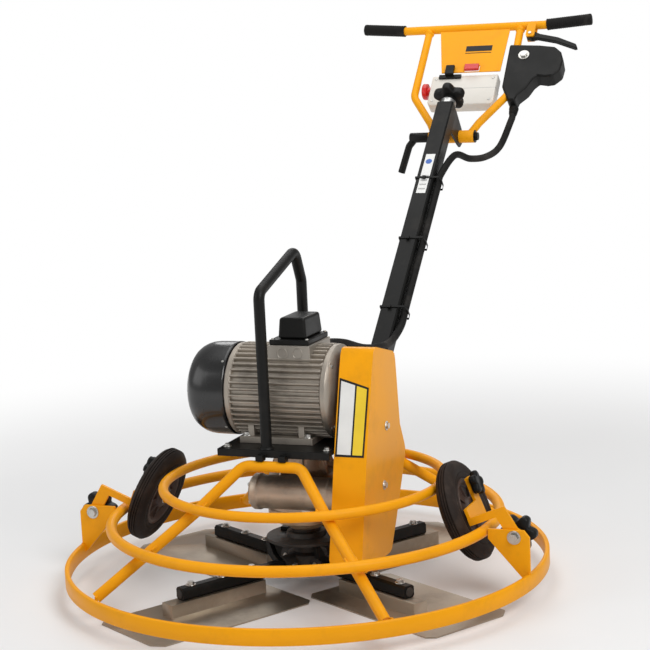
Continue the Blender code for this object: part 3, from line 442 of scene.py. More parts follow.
round_ring("guard_ring_middle", RING2_R, RING2_T, RING2_Z)
round_ring("guard_ring_upper", RING3_R, RING3_T, RING3_Z)

beads = []
for name, s in (("front_hoop", -1), ("rear_hoop", 1)):
    fx, fy, fz = HOOP_FOOT
    bx, by, bz = HOOP_BEND
    kx, ky, kz = HOOP_KNEE
    path = fillet([(-fx, s * fy, fz), (-kx, s * ky, kz), (-bx, s * by, bz), (bx, s * by, bz), (kx, s * ky, kz), (fx, s * fy, fz)], 0.028, 10)
    piece(name + ".surface", [tube(path, HOOP_T, 24)], YELLOW, "frame", (name,), smooth=60)
    for sx in (-1, 1):
        foot, bend = Vector((sx * fx, s * fy, fz)), Vector((sx * kx, s * ky, kz))
        d = (bend - foot).normalized()
        for ring_r, ring_z, ring_t in ((RING2_R, RING2_Z, RING2_T), (RING3_R, RING3_Z, RING3_T)):
            k = (ring_z - foot.z) / d.z
            p = foot + d * k
            out = Vector((p.x, p.y, 0)).normalized()
            side = ZV.cross(out)
            for ss in (-1, 1):
                beads.append(weld(p + out * 0.009 + side * ss * 0.0095 - d * 0.006, p + out * 0.009 + side * ss * 0.0095 + d * 0.006, 0.0026, 6))
        out = Vector((foot.x, foot.y, 0)).normalized()
        beads.append(weld(foot + out * 0.004 + ZV.cross(out) * 0.0105 - ZV * 0.004, foot + out * 0.004 + ZV.cross(out) * 0.0105 + ZV * 0.006, 0.003, 6))
piece("frame_welds", beads, YELLOW, "frame", (), smooth=60)

# ------------------------------------------------------------------ motor plate and hoop
refined("motor_plate", BLACK, 0.0012)
lift_path = fillet([(LIFT_X, MOTOR_Y - 0.1060, PLATE_Z1 + GAP), (LIFT_X, MOTOR_Y - 0.1060, 0.584), (LIFT_X, 0.052, 0.640), (LIFT_X, MOTOR_Y + 0.1060, 0.578),
                    (LIFT_X, MOTOR_Y + 0.1060, PLATE_Z1 + GAP)], 0.020, 10)
piece("lifting_hoop.surface", [tube(lift_path, LIFT_T, 24)], BLACK, "frame", ("lifting_hoop",), smooth=60)
piece("lifting_hoop_feet", [lathe([(LIFT_T, 0.0), (LIFT_T + 0.004, 0.0005), (LIFT_T + 0.003, 0.003), (LIFT_T, 0.0045)], (LIFT_X, y, PLATE_Z1 + 0.0002), ZV, 24)
                            for y in (MOTOR_Y - 0.106, MOTOR_Y + 0.106)], BLACK, "frame", (), smooth=60)
bolts = []
for x in (-0.075, 0.048):
    for y in (MOTOR_Y - 0.060, MOTOR_Y + 0.060):
        bolts += hex_bolt((x, y, 0.3040), ZV, 0.0065, 0.0055)
for x, y in ((-0.100, -0.125), (0.100, -0.125), (-0.100, 0.185), (0.100, 0.185)):
    bolts += hex_bolt((x, y, PLATE_Z1 + 0.0001), ZV, 0.0055, 0.0045)
piece("plate_bolts", bolts, ZINC, "frame", (), smooth=30)

# ------------------------------------------------------------------ motor
fins = 44
prof = []
for k in range(fins):
    for part, r in ((0.0, MOTOR_R - 0.0080), (0.25, MOTOR_R - 0.0084), (0.50, MOTOR_R - 0.0080), (0.56, MOTOR_R - 0.003), (0.62, MOTOR_R - 0.0004), (0.74, MOTOR_R), (0.86, MOTOR_R - 0.0004),
                    (0.92, MOTOR_R - 0.003)):
        a = 2 * math.pi * (k + part) / fins
        prof.append((r * math.cos(a), r * math.sin(a)))
centre = Vector((0, MOTOR_Y, MOTOR_Z))
motor = [prism(prof, (BODY_X0 + 0.012, MOTOR_Y, MOTOR_Z), YV, ZV, ((BODY_X1 - BODY_X0) - 0.024, 0, 0)),
         lathe([(0.030, 0), (0.086, 0), (0.0885, 0.0025), (0.0885, 0.011), (0.086, 0.0135), (0.030, 0.0135)], centre + XV * BODY_X0, XV, 64),
         lathe([(0.0125, -0.0125), (0.086, -0.0125), (0.0890, -0.010), (0.0890, -0.002), (0.0860, 0.002), (0.080, 0.006), (0.060, 0.0135), (0.046, 0.0150), (0.044, 0.0168), (0.0125, 0.0170)],
               centre + XV * BODY_X1, XV, 64),
         box(-0.088, 0.060, MOTOR_Y - 0.070, MOTOR_Y + 0.070, PLATE_Z1 + GAP, 0.304),
         box(-0.072, -0.060, MOTOR_Y - 0.064, MOTOR_Y + 0.064, 0.300, 0.345),
         box(0.030, 0.042, MOTOR_Y - 0.064, MOTOR_Y + 0.064, 0.300, 0.345),
         box(-0.026, 0.0555, MOTOR_Y - 0.055, MOTOR_Y + 0.052, 0.430, 0.4775)]
for k in range(4):
    a = math.pi / 4 + k * math.pi / 2
    motor.append(rod(centre + Vector((BODY_X1 - 0.016, 0.0800 * math.cos(a), 0.0800 * math.sin(a))), centre + Vector((BODY_X1 + 0.003, 0.0800 * math.cos(a), 0.0800 * math.sin(a))), 0.0082, 20, 0.0008))
piece("motor_housing.surface", motor, MOTOR, "frame", ("motor_housing",), bevel=0.0009, smooth=35)
screws = []
for k in range(4):
    a = math.pi / 4 + k * math.pi / 2
    screws += hex_bolt(centre + Vector((BODY_X1 + 0.003, 0.0800 * math.cos(a), 0.0800 * math.sin(a))), XV, 0.0045, 0.0035, False)
piece("motor_screws", screws, ZINC, "frame", (), smooth=30)
piece("cable_gland", [prism(circle(0.0125, 6), (0.035, MOTOR_Y + 0.0545, 0.4550), XV, ZV, (0, 0.005, 0)), rod((0.035, MOTOR_Y + 0.050, 0.4550), (0.035, MOTOR_Y + 0.0658, 0.4550), 0.0112, 28, 0.001)],
      PLASTIC, "frame", (), bevel=0.0006)

# fan cowl: a domed drawn shell with rings of slots in its end
shell = bmesh.new()
steps = 144
profile = [(0.0900, 0.0), (0.0900, 0.006), (0.0900, 0.014), (0.0899, 0.030), (0.0897, 0.042), (0.0885, 0.053), (0.0862, 0.0615), (0.0820, 0.0700), (0.0765, 0.0772), (0.0700, 0.0822), (0.0630, 0.0858),
           (0.0540, 0.0888), (0.0450, 0.0907), (0.0340, 0.0918), (0.0240, 0.0922), (0.0, 0.0924)]
rows = []
for r, h in profile:
    row = []
    for k in range(steps):
        a = 2 * math.pi * k / steps
        row.append(shell.verts.new(Vector((BODY_X0 - GAP - h, MOTOR_Y + r * math.cos(a), MOTOR_Z + r * math.sin(a)))) if r > 0 else None)
    rows.append(row)
tip = shell.verts.new(Vector((BODY_X0 - GAP - 0.0924, MOTOR_Y, MOTOR_Z)))
for j, (lo, hi) in enumerate(zip(rows[:-1], rows[1:])):
    for k in range(steps):
        n = (k + 1) % steps
        if hi[k] is None:
            shell.faces.new((lo[k], lo[n], tip))
            continue
        end_slot = j in (9, 11) and k % 12 not in (0, 1, 11)
        end_slot = end_slot or (j == 13 and k % 24 not in (0, 1, 2, 22, 23))
        if not end_slot:
            shell.faces.new((lo[k], lo[n], hi[n], hi[k]))
bmesh.ops.recalc_face_normals(shell, faces=shell.faces)
cowl = piece("fan_cowl.surface", [shell], COWL, "frame", ("fan_cowl",), smooth=45)
mod = cowl.modifiers.new("sheet", "SOLIDIFY")
mod.thickness = 0.0022
mod.offset = -1.0
cs = []
for k in range(4):
    a = math.pi / 4 + k * math.pi / 2
    out = Vector((0, math.cos(a), math.sin(a)))
    cs += hex_bolt(centre + XV * (BODY_X0 - 0.008) + out * 0.0890, out, 0.0030, 0.0010, False)
piece("cowl_screws", cs, ZINC, "frame", (), smooth=30)
dress("motor_fan", PLASTIC)
dress("motor_shaft", STEEL)

# terminal box: cast base frame with cable entries, gasket flange and a deep lid
piece("terminal_box_base.surface", [box(-0.0250, 0.0545, MOTOR_Y - 0.054, MOTOR_Y + 0.051, 0.4778, 0.4880)], PLASTIC, "frame", ("terminal_box_base",), bevel=0.0022)
lid_y0, lid_y1 = MOTOR_Y - 0.046, MOTOR_Y + 0.043
lid = prism([(-0.0100, lid_y0), (0.0470, lid_y0), (0.0470, lid_y1), (-0.0100, lid_y1)], (0, 0, 0.4883), XV, YV, (0, 0, 0.0400))
for v in lid.verts:
    if v.co.z > 0.52:
        v.co.x += 0.0030 if v.co.x < 0.018 else -0.0030
        v.co.y += 0.0035 if v.co.y < MOTOR_Y else -0.0035
piece("terminal_box_lid.surface", [lid], PLASTIC, "frame", ("terminal_box_lid",), bevel=0.0055, segments=4)
piece("terminal_box_skirt", [box(-0.0280, 0.0575, MOTOR_Y - 0.0565, MOTOR_Y + 0.0535, 0.4480, 0.4776)], BOXGREY, "frame", (), bevel=0.0018)
knock = []
for x in (0.0020, 0.0330):
    knock.append(lathe([(0, 0), (0.0105, 0), (0.0105, 0.0006), (0.0096, 0.0012), (0.0088, 0.0004), (0, 0.0004)], (x, MOTOR_Y - 0.0563, 0.4628), -YV, 32))
piece("terminal_box_knockouts", knock, BOXGREY, "frame", (), smooth=40)
ts = []
for x in (-0.0185, 0.0500):
    for y in (MOTOR_Y - 0.0485, MOTOR_Y + 0.045):
        ts += socket_bolt((x, y, 0.4880), ZV, 0.0033, 0.0022)
piece("terminal_box_screws", ts, ZINC, "frame", (), smooth=30)

# ------------------------------------------------------------------ gearbox
gear = [lathe([(0.046, 0.137), (0.0695, 0.137), (0.0715, 0.139), (0.0715, 0.150), (0.0700, 0.152), (0.0690, 0.206), (0.0665, 0.214), (0.060, 0.220), (0.052, 0.2235), (0.048, 0.226), (0.0465, 0.232),
               (0.0465, 0.272), (0.0440, PLATE_Z0 - GAP), (0.020, PLATE_Z0 - GAP)], (0, 0, 0), ZV, 72),
        lathe([(0, -0.078), (0.0290, -0.078), (0.0340, -0.0735), (0.0350, -0.0715), (0.0350, -0.061), (0.0335, -0.059), (0.0325, -0.055), (0.0325, 0.077), (0.0335, 0.081), (0.0350, 0.083), (0.0350, 0.096),
               (0.0335, 0.0978), (0.0135, 0.0978)], (0, WORM_Y, WORM_Z), XV, 56)]
for k in range(8):
    a = math.pi / 8 + k * math.pi / 4
    d = Vector((math.cos(a), math.sin(a), 0))
    gear.append(prism([(0.040, 0.222), (0.066, 0.219), (0.050, 0.262), (0.040, 0.274)], -d.cross(ZV) * -0.002, d, ZV, d.cross(ZV) * -0.004))
piece("gearbox_housing.surface", gear, CAST, "frame", ("gearbox_housing",), bevel=0.0008)
gb = []
for k in range(8):
    a = k * math.pi / 4
    gb += socket_bolt((0.0625 * math.cos(a), 0.0625 * math.sin(a), 0.1368), -ZV, 0.0042, 0.0035)
for k in range(4):
    a = math.pi / 4 + k * math.pi / 2
    gb += hex_bolt((-0.0780, WORM_Y + 0.0245 * math.cos(a), WORM_Z + 0.0245 * math.sin(a)), -XV, 0.0040, 0.0032, False)
gb += hex_bolt((0.030, -0.0700, 0.205 - 0.045), Vector((0.35, -1, 0)), 0.0060, 0.0045)
piece("gearbox_bolts", gb, ZINC, "frame", (), smooth=30)
piece("gearbox_cover.surface", [lathe([(0.0186, 0.107), (0.0310, 0.107), (0.0330, 0.109), (0.0345, 0.116), (0.0390, 0.1190), (0.0560, 0.1205), (0.0590, 0.1225), (0.0600, 0.126), (0.0600, 0.1367), (0.0186, 0.1367)],
                                      (0, 0, 0), ZV, 64)], BEIGE, "frame", ("gearbox_cover",), smooth=40)

# ------------------------------------------------------------------ belt guard with its bolts and a plain panel decal
refined("belt_guard", YELLOW, 0.0035, segments=3)
GUARD_BOLTS = ((-0.0173, 0.3168), (-0.0424, 0.2082))
wall = Vector((0, 0.0448, 0.1449)).normalized()
front = Vector((0, -wall.z, wall.y))
foot_of_wall = Vector((0, -0.1335, 0.2790))
sticker("belt_guard_label", [(0.1185, 0.1487), (0.1766, 0.1317), (0.1746, 0.003), (0.1185, 0.003)], foot_of_wall, XV, wall, front, L_BLACK, "frame", lift=0.0004)
sticker("belt_guard_label_white", [(0.122, 0.1433), (0.1498, 0.1354), (0.1488, 0.0071), (0.1219, 0.0073)], foot_of_wall, XV, wall, front, L_WHITE, "frame", lift=0.00065)
sticker("belt_guard_label_yellow", [(0.1533, 0.1344), (0.1731, 0.1288), (0.1713, 0.0069), (0.1522, 0.0071)], foot_of_wall, XV, wall, front, L_YELLOW, "frame", lift=0.00065)
gbolts = []
for y, z in GUARD_BOLTS:
    gbolts += hex_bolt((GUARD_X1, y, z), XV, 0.0062, 0.0040)
piece("belt_guard_bolts", gbolts, ZINC, "frame", (), smooth=30)
dress("motor_pulley", STEEL)
dress("gearbox_pulley", STEEL)
dress("drive_belt", RUBBER)
dress("worm_shaft", STEEL)

# ------------------------------------------------------------------ rotor
refined("spider_hub", IRON, 0.0012)
dress("output_shaft", STEEL)
refined("pressure_plate", IRON, 0.0010)
refined("pitch_fork", BLACK, 0.0010)
for k, deg in enumerate(BLADE_ANGLES):
    u = Vector((math.cos(math.radians(deg)), math.sin(math.radians(deg)), 0))
    v = Vector((-u.y, u.x, 0))
    refined("trowel_arm_%d" % (k + 1), BLACK, 0.0010)
    refined("blade_%d" % (k + 1), BLADE, 0.0004, segments=1)
    ab = []
    for r in (0.135, 0.205, 0.275):
        ab += hex_bolt(u * r + ZV * (ARM_Z + ARM_HALF), ZV, 0.0068, 0.0052)
    piece("arm_bolts_%d" % (k + 1), ab, ZINC, "arm_%d" % (k + 1), (), smooth=30)
    ends = [rod(u * ARM_R1 + ZV * ARM_Z, u * (ARM_R1 + 0.002) + ZV * ARM_Z, 0.0085, 24, 0.0006)]
    piece("arm_cap_%d" % (k + 1), ends, IRON, "arm_%d" % (k + 1), (), smooth=30)
    hb = []
    for s in (-1, 1):
        hb += hex_bolt(u * 0.046 + ZV * ARM_Z + v * s * 0.0182, v * s, 0.0048, 0.0036)
    piece("hub_bolts_%d" % (k + 1), hb, ZINC, "rotor", (), smooth=30)

# ------------------------------------------------------------------ handle column
refined("handle_column", BLACK, 0.0012)
refined("handle_foot_bracket", BLACK, 0.0010)
fb = []
for sx in (-1, 1):
    for y, z in ((0.325, 0.333), (0.218, 0.304)):
        x = COL_X + (0.0263 if sx > 0 else -0.0263)
        fb += hex_bolt((x, y, z), XV * sx, 0.0062, 0.0048)
for x in (-0.026, 0.026):
    fb += hex_bolt((COL_X + x, 0.180, 0.2970), ZV, 0.0055, 0.0045)
piece("foot_bracket_bolts", fb, ZINC, "frame", (), smooth=30)
collar = COLUMN + CD * COL_S1
piece("column_collar", [lathe([(0.0178, 0.0), (0.0190, 0.0006), (0.0190, 0.0148), (0.0180, 0.0158), (0.0066, 0.0158)], collar, CD, 48)], STEEL, "frame", (), smooth=40)
knob_base = COLUMN + CD * (COL_S1 + 0.0165)
piece("pitch_knob.surface", star(knob_base, CD, 0.0385, 0.022, 0.010, 5, 0.3), PLASTIC, "pitch_knob", ("pitch_knob",), smooth=50)
sx0, sx1 = COL_X - 0.0105, COL_X + 0.0115
top = COLUMN + CM * COL_HALF
sticker("column_label", [(sx0, 0.425), (sx1, 0.425), (sx1, 0.545), (sx0, 0.545)], Vector((0, top.y, top.z)), XV, CD, CM, L_WHITE, "frame")
sticker("column_label_mark", circle(0.0075, 24, COL_X, 0.522), Vector((0, top.y, top.z)), XV, CD, CM, L_BLUE, "frame", lift=0.00055)
for k in range(4):
    sticker("column_label_line_%d" % k, [(sx0 + 0.003, 0.436 + 0.013 * k), (sx1 - 0.003, 0.436 + 0.013 * k), (sx1 - 0.003, 0.440 + 0.013 * k), (sx0 + 0.003, 0.440 + 0.013 * k)],
            Vector((0, top.y, top.z)), XV, CD, CM, L_GREY, "frame", lift=0.00055)

# ------------------------------------------------------------------ handlebar head
tubes = [lathe([(0.0062, 0), (0.0140, 0), (0.0150, 0.001), (0.0150, 0.111), (0.0140, 0.112), (0.0062, 0.112)], head(-0.056, 0), XV, 40)]
for s in (-1, 1):
    path = fillet([head(s * 0.0460, 0.0115), head(s * 0.0600, 0.0400), head(s * 0.1185, 0.1260), head(s * 0.1165, 0.3400)], 0.040, 10)
    tubes.append(tube(path, TUBE_T, 24))
    tubes.append(lathe([(TUBE_T, 0), (TUBE_T + 0.003, 0.001), (TUBE_T + 0.002, 0.004), (TUBE_T, 0.006)], head(s * 0.1165, 0.3300), -EV, 24))
piece("handle_frame.surface", tubes, YELLOW, "handlebar", ("handle_frame",), smooth=50)

tipv = Vector((0.1120, 0.0110))
bar_path = fillet([head(-BAR_HALF - tipv.x, BAR_E + tipv.y), head(-BAR_HALF, BAR_E), head(BAR_HALF, BAR_E), head(BAR_HALF + tipv.x, BAR_E + tipv.y)], 0.060, 8)
lever_pivot = head(0.1460, 0.3080)
bar = [tube(bar_path, BAR_T, 24)]
for g in (-0.0110, 0.0065):
    bar.append(prism([(0.138, 0.299), (0.155, 0.299), (0.157, 0.303), (0.157, 0.341), (0.136, 0.341), (0.136, 0.303)], head(0, 0, g), XV, EV, GV * 0.0045))
piece("crossbar.surface", bar, YELLOW, "handlebar", ("crossbar",), smooth=50)
piece("lever_pin", hex_bolt(lever_pivot + GV * 0.0110, GV, 0.0042, 0.0030, False) + hex_bolt(lever_pivot - GV * 0.0110, -GV, 0.0042, 0.0030, False), ZINC, "handlebar", (), smooth=30)

for name, s in (("grip_left", -1), ("grip_right", 1)):
    axis = (head(s * (BAR_HALF + tipv.x), BAR_E + tipv.y) - head(s * BAR_HALF, BAR_E)).normalized()
    start = head(s * BAR_HALF, BAR_E) + axis * 0.0060
    prof = [(0.0109, 0.0), (0.0132, 0.0), (0.0140, 0.0008), (0.0140, 0.0040), (0.0134, 0.0046)]
    k = 0.0075
    while k < 0.098:
        prof += [(0.0134, k - 0.0013), (0.0139, k - 0.0006), (0.0139, k + 0.0006), (0.0134, k + 0.0013)]
        k += 0.0052
    prof += [(0.0138, 0.1020), (0.0140, 0.1045), (0.0134, 0.1085), (0.0110, 0.1098), (0.0, 0.1100)]
    prof = [(0.0, 0.001)] + [(0.0109, 0.001)] + prof[1:]
    piece(name + ".surface", [lathe(prof, start, axis, 40)], RUBBER, "handlebar", (name,), smooth=45)

refined("control_panel", YELLOW, 0.0008)
pn = head(0, 0, 0.0050)
sticker("panel_label", [(-0.010, 0.262), (0.056, 0.262), (0.056, 0.279), (-0.010, 0.279)], pn, XV, EV, GV, L_BLACK, "handlebar")
sticker("panel_label_line", [(-0.010, 0.2555), (0.056, 0.2555), (0.056, 0.2575), (-0.010, 0.2575)], pn, XV, EV, GV, L_BLACK, "handlebar")
refined("switch_box", WHITE, 0.0)
seam = [prism([(-0.0700, 0.150), (0.0832, 0.150), (0.0832, 0.1508), (-0.0700, 0.1508)], head(0, 0, -0.0302), XV, EV, GV * 0.0294)]
piece("switch_box_seam", seam, L_GREY, "handlebar", ())
bs = []
for x in (-0.072, 0.072):
    for e in (0.114, 0.180):
        bs += socket_bolt(head(x, e, -0.0010), GV, 0.0034, 0.0016)
piece("switch_box_screws", bs, ZINC, "handlebar", (), smooth=30)
# black contact blocks standing on the box under the panel
piece("switch_blocks", [prism([(-0.049, 0.1870), (-0.028, 0.1870), (-0.028, 0.2140), (-0.049, 0.2140)], head(0, 0, 0.0052), XV, EV, GV * 0.0085),
                        prism([(-0.065, 0.1800), (-0.009, 0.1800), (-0.009, 0.1915), (-0.065, 0.1915)], head(0, 0, -0.0008), XV, EV, GV * 0.0050)], PLASTIC, "handlebar", (), bevel=0.0010)
stop_base = head(-0.0833, 0.1550, -0.0155)
piece("emergency_stop.surface", [lathe([(0, 0), (0.0108, 0), (0.0108, 0.0070), (0.0150, 0.0078), (0.0195, 0.0088), (0.0200, 0.0105), (0.0200, 0.0165), (0.0192, 0.0190), (0.0165, 0.0206), (0.0110, 0.0213), (0, 0.0215)],
                                       stop_base, -XV, 56)], RED, "emergency_stop", ("emergency_stop",), smooth=45)
refined("start_switch", RED, 0.0014)
refined("deadman_lever", PLASTIC, 0.0022, segments=3)
piece("inlet_housing.surface", [prism([(0.1015, 0.2735), (0.1775, 0.2676), (0.2154, 0.2607), (0.2324, 0.244), (0.24, 0.2154), (0.2379, 0.1876), (0.221, 0.1698), (0.2043, 0.1675), (0.1842, 0.1716), (0.1738, 0.1597), (0.1627, 0.1355), (0.1439, 0.1148), (0.14, 0.0985), (0.1225, 0.0985), (0.102, 0.142)], head(0, 0, -0.0280), XV, EV, GV * 0.0405)], PLASTIC, "handlebar", ("inlet_housing",), bevel=0.0050, smooth=50, segments=4)
piece("inlet_bolt", hex_bolt(head(0.1421, 0.2372, 0.0125), GV, 0.0095, 0.0050), ZINC, "handlebar", (), smooth=30)
sleeve_top = head(0.1335, 0.0957, -0.016)
prof = [(0, 0), (0.0111, 0), (0.0115, 0.0008), (0.0115, 0.0045), (0.0108, 0.0052)]
for k in range(3):
    h = 0.0062 + 0.0042 * k
    r = 0.0108 - 0.0004 * k
    prof += [(r, h), (r, h + 0.0022), (r - 0.0010, h + 0.0027), (r - 0.0010, h + 0.0037)]
prof += [(0.0092, 0.0200), (0, 0.0200)]
piece("cable_sleeve.surface", [lathe(prof, sleeve_top, -EV, 36)], RUBBER, "handlebar", ("cable_sleeve",), smooth=40)

# clamp lever
lever2 = [rod(head(-0.0565, 0), head(-0.1040, 0), 0.0120, 36, 0.0012), rod(head(-0.0700, 0), head(0.0600, 0), 0.0058, 20),
          tube(fillet([head(-0.0900, 0), head(-0.1080, 0) + Vector((0, 0, -0.020)), head(-0.1300, 0) + Vector((0, 0, -0.083))], 0.020, 8), 0.0085, 24)]
piece("clamp_lever.surface", lever2, PLASTIC, "clamp_lever", ("clamp_lever",), smooth=45)
piece("clamp_nut", hex_bolt(head(0.0565, 0), XV, 0.0105, 0.0070), BLACK, "clamp_lever", (), smooth=30)

# ------------------------------------------------------------------ supply cable
cable_x = COL_X + COL_HALF + CABLE_R + 0.0006


def beside_column(s):
    p = COLUMN + CD * s
    return Vector((cable_x, p.y, p.z))


plug_end = sleeve_top - EV * (0.0200 + GAP)
loop_points = [plug_end - EV * 0.010, Vector((0.1493, 0.9600, 0.7728)), Vector((0.1256, 0.9200, 0.7515)), Vector((0.0937, 0.8950, 0.7494)), Vector((0.0755, 0.8350, 0.7625)),
               beside_column(0.500), beside_column(0.470)]
loop_path = [plug_end] + smooth_path(loop_points, 10) + [beside_column(0.460)]
low_end = Vector((0.035, MOTOR_Y + 0.066 + GAP, 0.4550))
run_points = [beside_column(0.460) - CD * GAP] + [beside_column(0.46 - 0.40 * k / 8) for k in range(1, 9)]
run_points += [Vector((0.0645, 0.360, 0.4080)), Vector((0.0630, 0.285, 0.4100)), Vector((0.0560, 0.210, 0.4220)), Vector((0.0450, 0.140, 0.4440)),
               Vector((0.0360, 0.085, 0.4550)), Vector((0.0350, 0.060, 0.4550))]
run_path = smooth_path(run_points, 6) + [low_end]


def row(pts):
    return [tuple(p + Vector((0, SHIFT_Y, 0))) for p in pts]


loop = piece("cable_loop.surface", [tube(loop_path, CABLE_R, 20)], RUBBER, None, ("cable_loop",), smooth=60)
row([beside_column(0.500)])[0]
row([plug_end])[0]
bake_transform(loop)
row([plug_end])[0]
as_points(row(loop_path))
run = piece("cable_run.surface", [tube(run_path, CABLE_R, 20)], RUBBER, "frame", ("cable_run",), smooth=60)
row([low_end])[0]
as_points(row(run_path[::-1]))
ties = []
for s in (0.095, 0.290, 0.470):
    o = COL_HALF + 0.0006
    cy = COL_HALF + 2 * CABLE_R + 0.0014
    outline = [(-o - 0.0014, -o - 0.0014), (cy - 0.004, -o - 0.0014), (cy + 0.0010, -0.009), (cy + 0.0010, 0.009), (cy - 0.004, o + 0.0014), (-o - 0.0014, o + 0.0014)]
    inner = [(-o, -o), (cy - 0.0046, -o), (cy - 0.0004, -0.0086), (cy - 0.0004, 0.0086), (cy - 0.0046, o), (-o, o)]
    bm = bmesh.new()
    base = COLUMN + CD * s
    loops = []
    for depth in (0.0, 0.0048):
        for pts in (outline, inner):
            loops.append([bm.verts.new(base + CD * depth + XV * a + CM * b) for a, b in pts])
    n = len(outline)
    for k in range(n):
        m = (k + 1) % n
        bm.faces.new((loops[0][k], loops[0][m], loops[2][m], loops[2][k]))
        bm.faces.new((loops[1][k], loops[3][k], loops[3][m], loops[1][m]))
        bm.faces.new((loops[0][k], loops[1][k], loops[1][m], loops[0][m]))
        bm.faces.new((loops[2][k], loops[2][m], loops[3][m], loops[3][k]))
    bmesh.ops.recalc_face_normals(bm, faces=bm.faces)
    ties.append(bm)
    ties.append(prism([(-0.004, -0.0035), (0.004, -0.0035), (0.004, 0.0035), (-0.004, 0.0035)], base + CM * (o + 0.0014), XV, CD, CM * 0.0042))
piece("cable_ties", ties, PLASTIC, "frame", ())

# ------------------------------------------------------------------ transport wheels
for tag, side in (("left", -1), ("right", 1)):
    ctr = Vector((side * WHEEL_X, WHEEL_Y, WHEEL_Z))
    n = Vector((side * math.cos(WHEEL_LEAN), 0, math.sin(WHEEL_LEAN)))
    t = Vector((-side * math.sin(WHEEL_LEAN), 0, math.cos(WHEEL_LEAN)))
    pivot = Vector((side * PIVOT_X, PIVOT_Y, PIVOT_Z))
    hw = WHEEL_HALF
    right_side = [(0.0606, hw - 0.002), (0.0650, hw - 0.0012), (0.0700, hw - 0.0004), (0.0715, hw - 0.0012), (0.0730, hw - 0.0004), (0.0800, hw), (0.0870, hw - 0.0012), (0.0920, hw - 0.0042), (0.0952, hw - 0.0082)]
    tread = [(0.0966, 0.0080), (0.0970, 0.0065), (0.0946, 0.0060), (0.0946, 0.0042), (0.0970, 0.0036), (0.0970, 0.0010), (0.0946, 0.0006)]
    upper = right_side + tread
    profile = [(r, -h) for r, h in upper] + [(r, h) for r, h in reversed(upper)]
    piece("wheel_tyre_%s.surface" % tag, [lathe(profile, ctr, n, 96)], TYRE, "wheel_" + tag, ("wheel_tyre_" + tag,), smooth=40)
    disc = [(0.0066, -0.0180), (0.0205, -0.0180), (0.0220, -0.0165), (0.0240, -0.0095), (0.0290, -0.0070), (0.0470, -0.0058), (0.0505, -0.0085), (0.0525, -0.0140), (0.0540, -0.0152), (0.0590, -0.0155), (0.0602, -0.0145)]
    disc = disc + [(r, -h) for r, h in reversed(disc)]
    hub = [lathe(disc, ctr, n, 64)]
    yv = n.cross(t)
    for k in range(8):
        a = 2 * math.pi * k / 8
        d = t * math.cos(a) + yv * math.sin(a)
        e = n.cross(d)
        hub.append(prism([(0.0215, -0.0120), (0.0530, -0.0090), (0.0530, 0.0090), (0.0215, 0.0120)], ctr - e * 0.0016, d, n, e * 0.0032))
    piece("wheel_hub_%s.surface" % tag, hub, HUB, "wheel_" + tag, ("wheel_hub_" + tag,), smooth=40)
    refined("wheel_arm_" + tag, YELLOW, 0.0012)
    ab = hex_bolt(ctr - n * 0.0184, -n, 0.0090, 0.0050)
    piece("axle_nut_" + tag, ab, ZINC, "wheel_arm_" + tag, (), smooth=30)
    stow = ctr + n * 0.0268 + t * 0.040 + YV * 0.014
    piece("stow_knob_%s.surface" % tag, star(stow, n, 0.0240, 0.0140, 0.0030, 5), PLASTIC, "stow_knob_" + tag, ("stow_knob_" + tag,), smooth=50)
    gripb = pivot + YV * 0.0096
    clamp = star(gripb, YV, 0.0360, 0.0260, 0.0080, 6)
    piece("clamp_knob_%s.surface" % tag, clamp, PLASTIC, "clamp_knob_" + tag, ("clamp_knob_" + tag,), smooth=50)
    cb = hex_bolt(pivot - YV * 0.0033, -YV, 0.0090, 0.0058) + [rod(pivot - YV * 0.0040, pivot + YV * 0.0150, 0.0058, 20)]
    piece("clamp_bolt_" + tag, cb, ZINC, "clamp_knob_" + tag, (), smooth=30)

# anything not replaced keeps its CAD shape and gets a finish here
for name, obj in nodes.items():
    if not obj.hide_render and name not in ("motor_fan", "motor_shaft", "motor_pulley", "gearbox_pulley", "drive_belt", "worm_shaft", "output_shaft"):
        dress(name, BLACK)

# ------------------------------------------------------------------ stage, light and camera
floor_mat = surface("studio_floor", (0.84, 0.84, 0.84), 0.75, tone=0.012, tone_scale=1.5, grain=60.0, bump=0.02, depth=0.0004)
# the floor turns evenly white away from the machine, as a lit studio sweep does
nt = floor_mat.node_tree
spot = nt.nodes.new("ShaderNodeTexCoord")
reach = nt.nodes.new("ShaderNodeVectorMath")
reach.operation = "LENGTH"
nt.links.new(spot.outputs["Object"], reach.inputs[0])
fade = nt.nodes.new("ShaderNodeMapRange")
fade.interpolation_type = "SMOOTHSTEP"
fade.inputs["From Min"].default_value = 0.75
fade.inputs["From Max"].default_value = 2.1
nt.links.new(reach.outputs["Value"], fade.inputs["Value"])
glow = nt.nodes.new("ShaderNodeEmission")
glow.inputs["Color"].default_value = (1.0, 1.0, 1.0, 1.0)
glow.inputs["Strength"].default_value = 1.0
both = nt.nodes.new("ShaderNodeMixShader")
nt.links.new(fade.outputs["Result"], both.inputs["Fac"])
nt.links.new(nt.nodes["Principled BSDF"].outputs["BSDF"], both.inputs[1])
nt.links.new(glow.outputs["Emission"], both.inputs[2])
nt.links.new(both.outputs["Shader"], next(n for n in nt.nodes if n.type == "OUTPUT_MATERIAL").inputs["Surface"])
bm = bmesh.new()
bm.faces.new([bm.verts.new((x, y, 0.0)) for x, y in ((-30.0, -30.0), (30.0, -30.0), (30.0, 30.0), (-30.0, 30.0))])
me = bpy.data.meshes.new("studio_floor")
bm.to_mesh(me)
bm.free()
for poly in me.polygons:
    poly.use_smooth = True
floor = bpy.data.objects.new("studio_floor", me)
bpy.context.scene.collection.objects.link(floor)
me.materials.append(floor_mat)

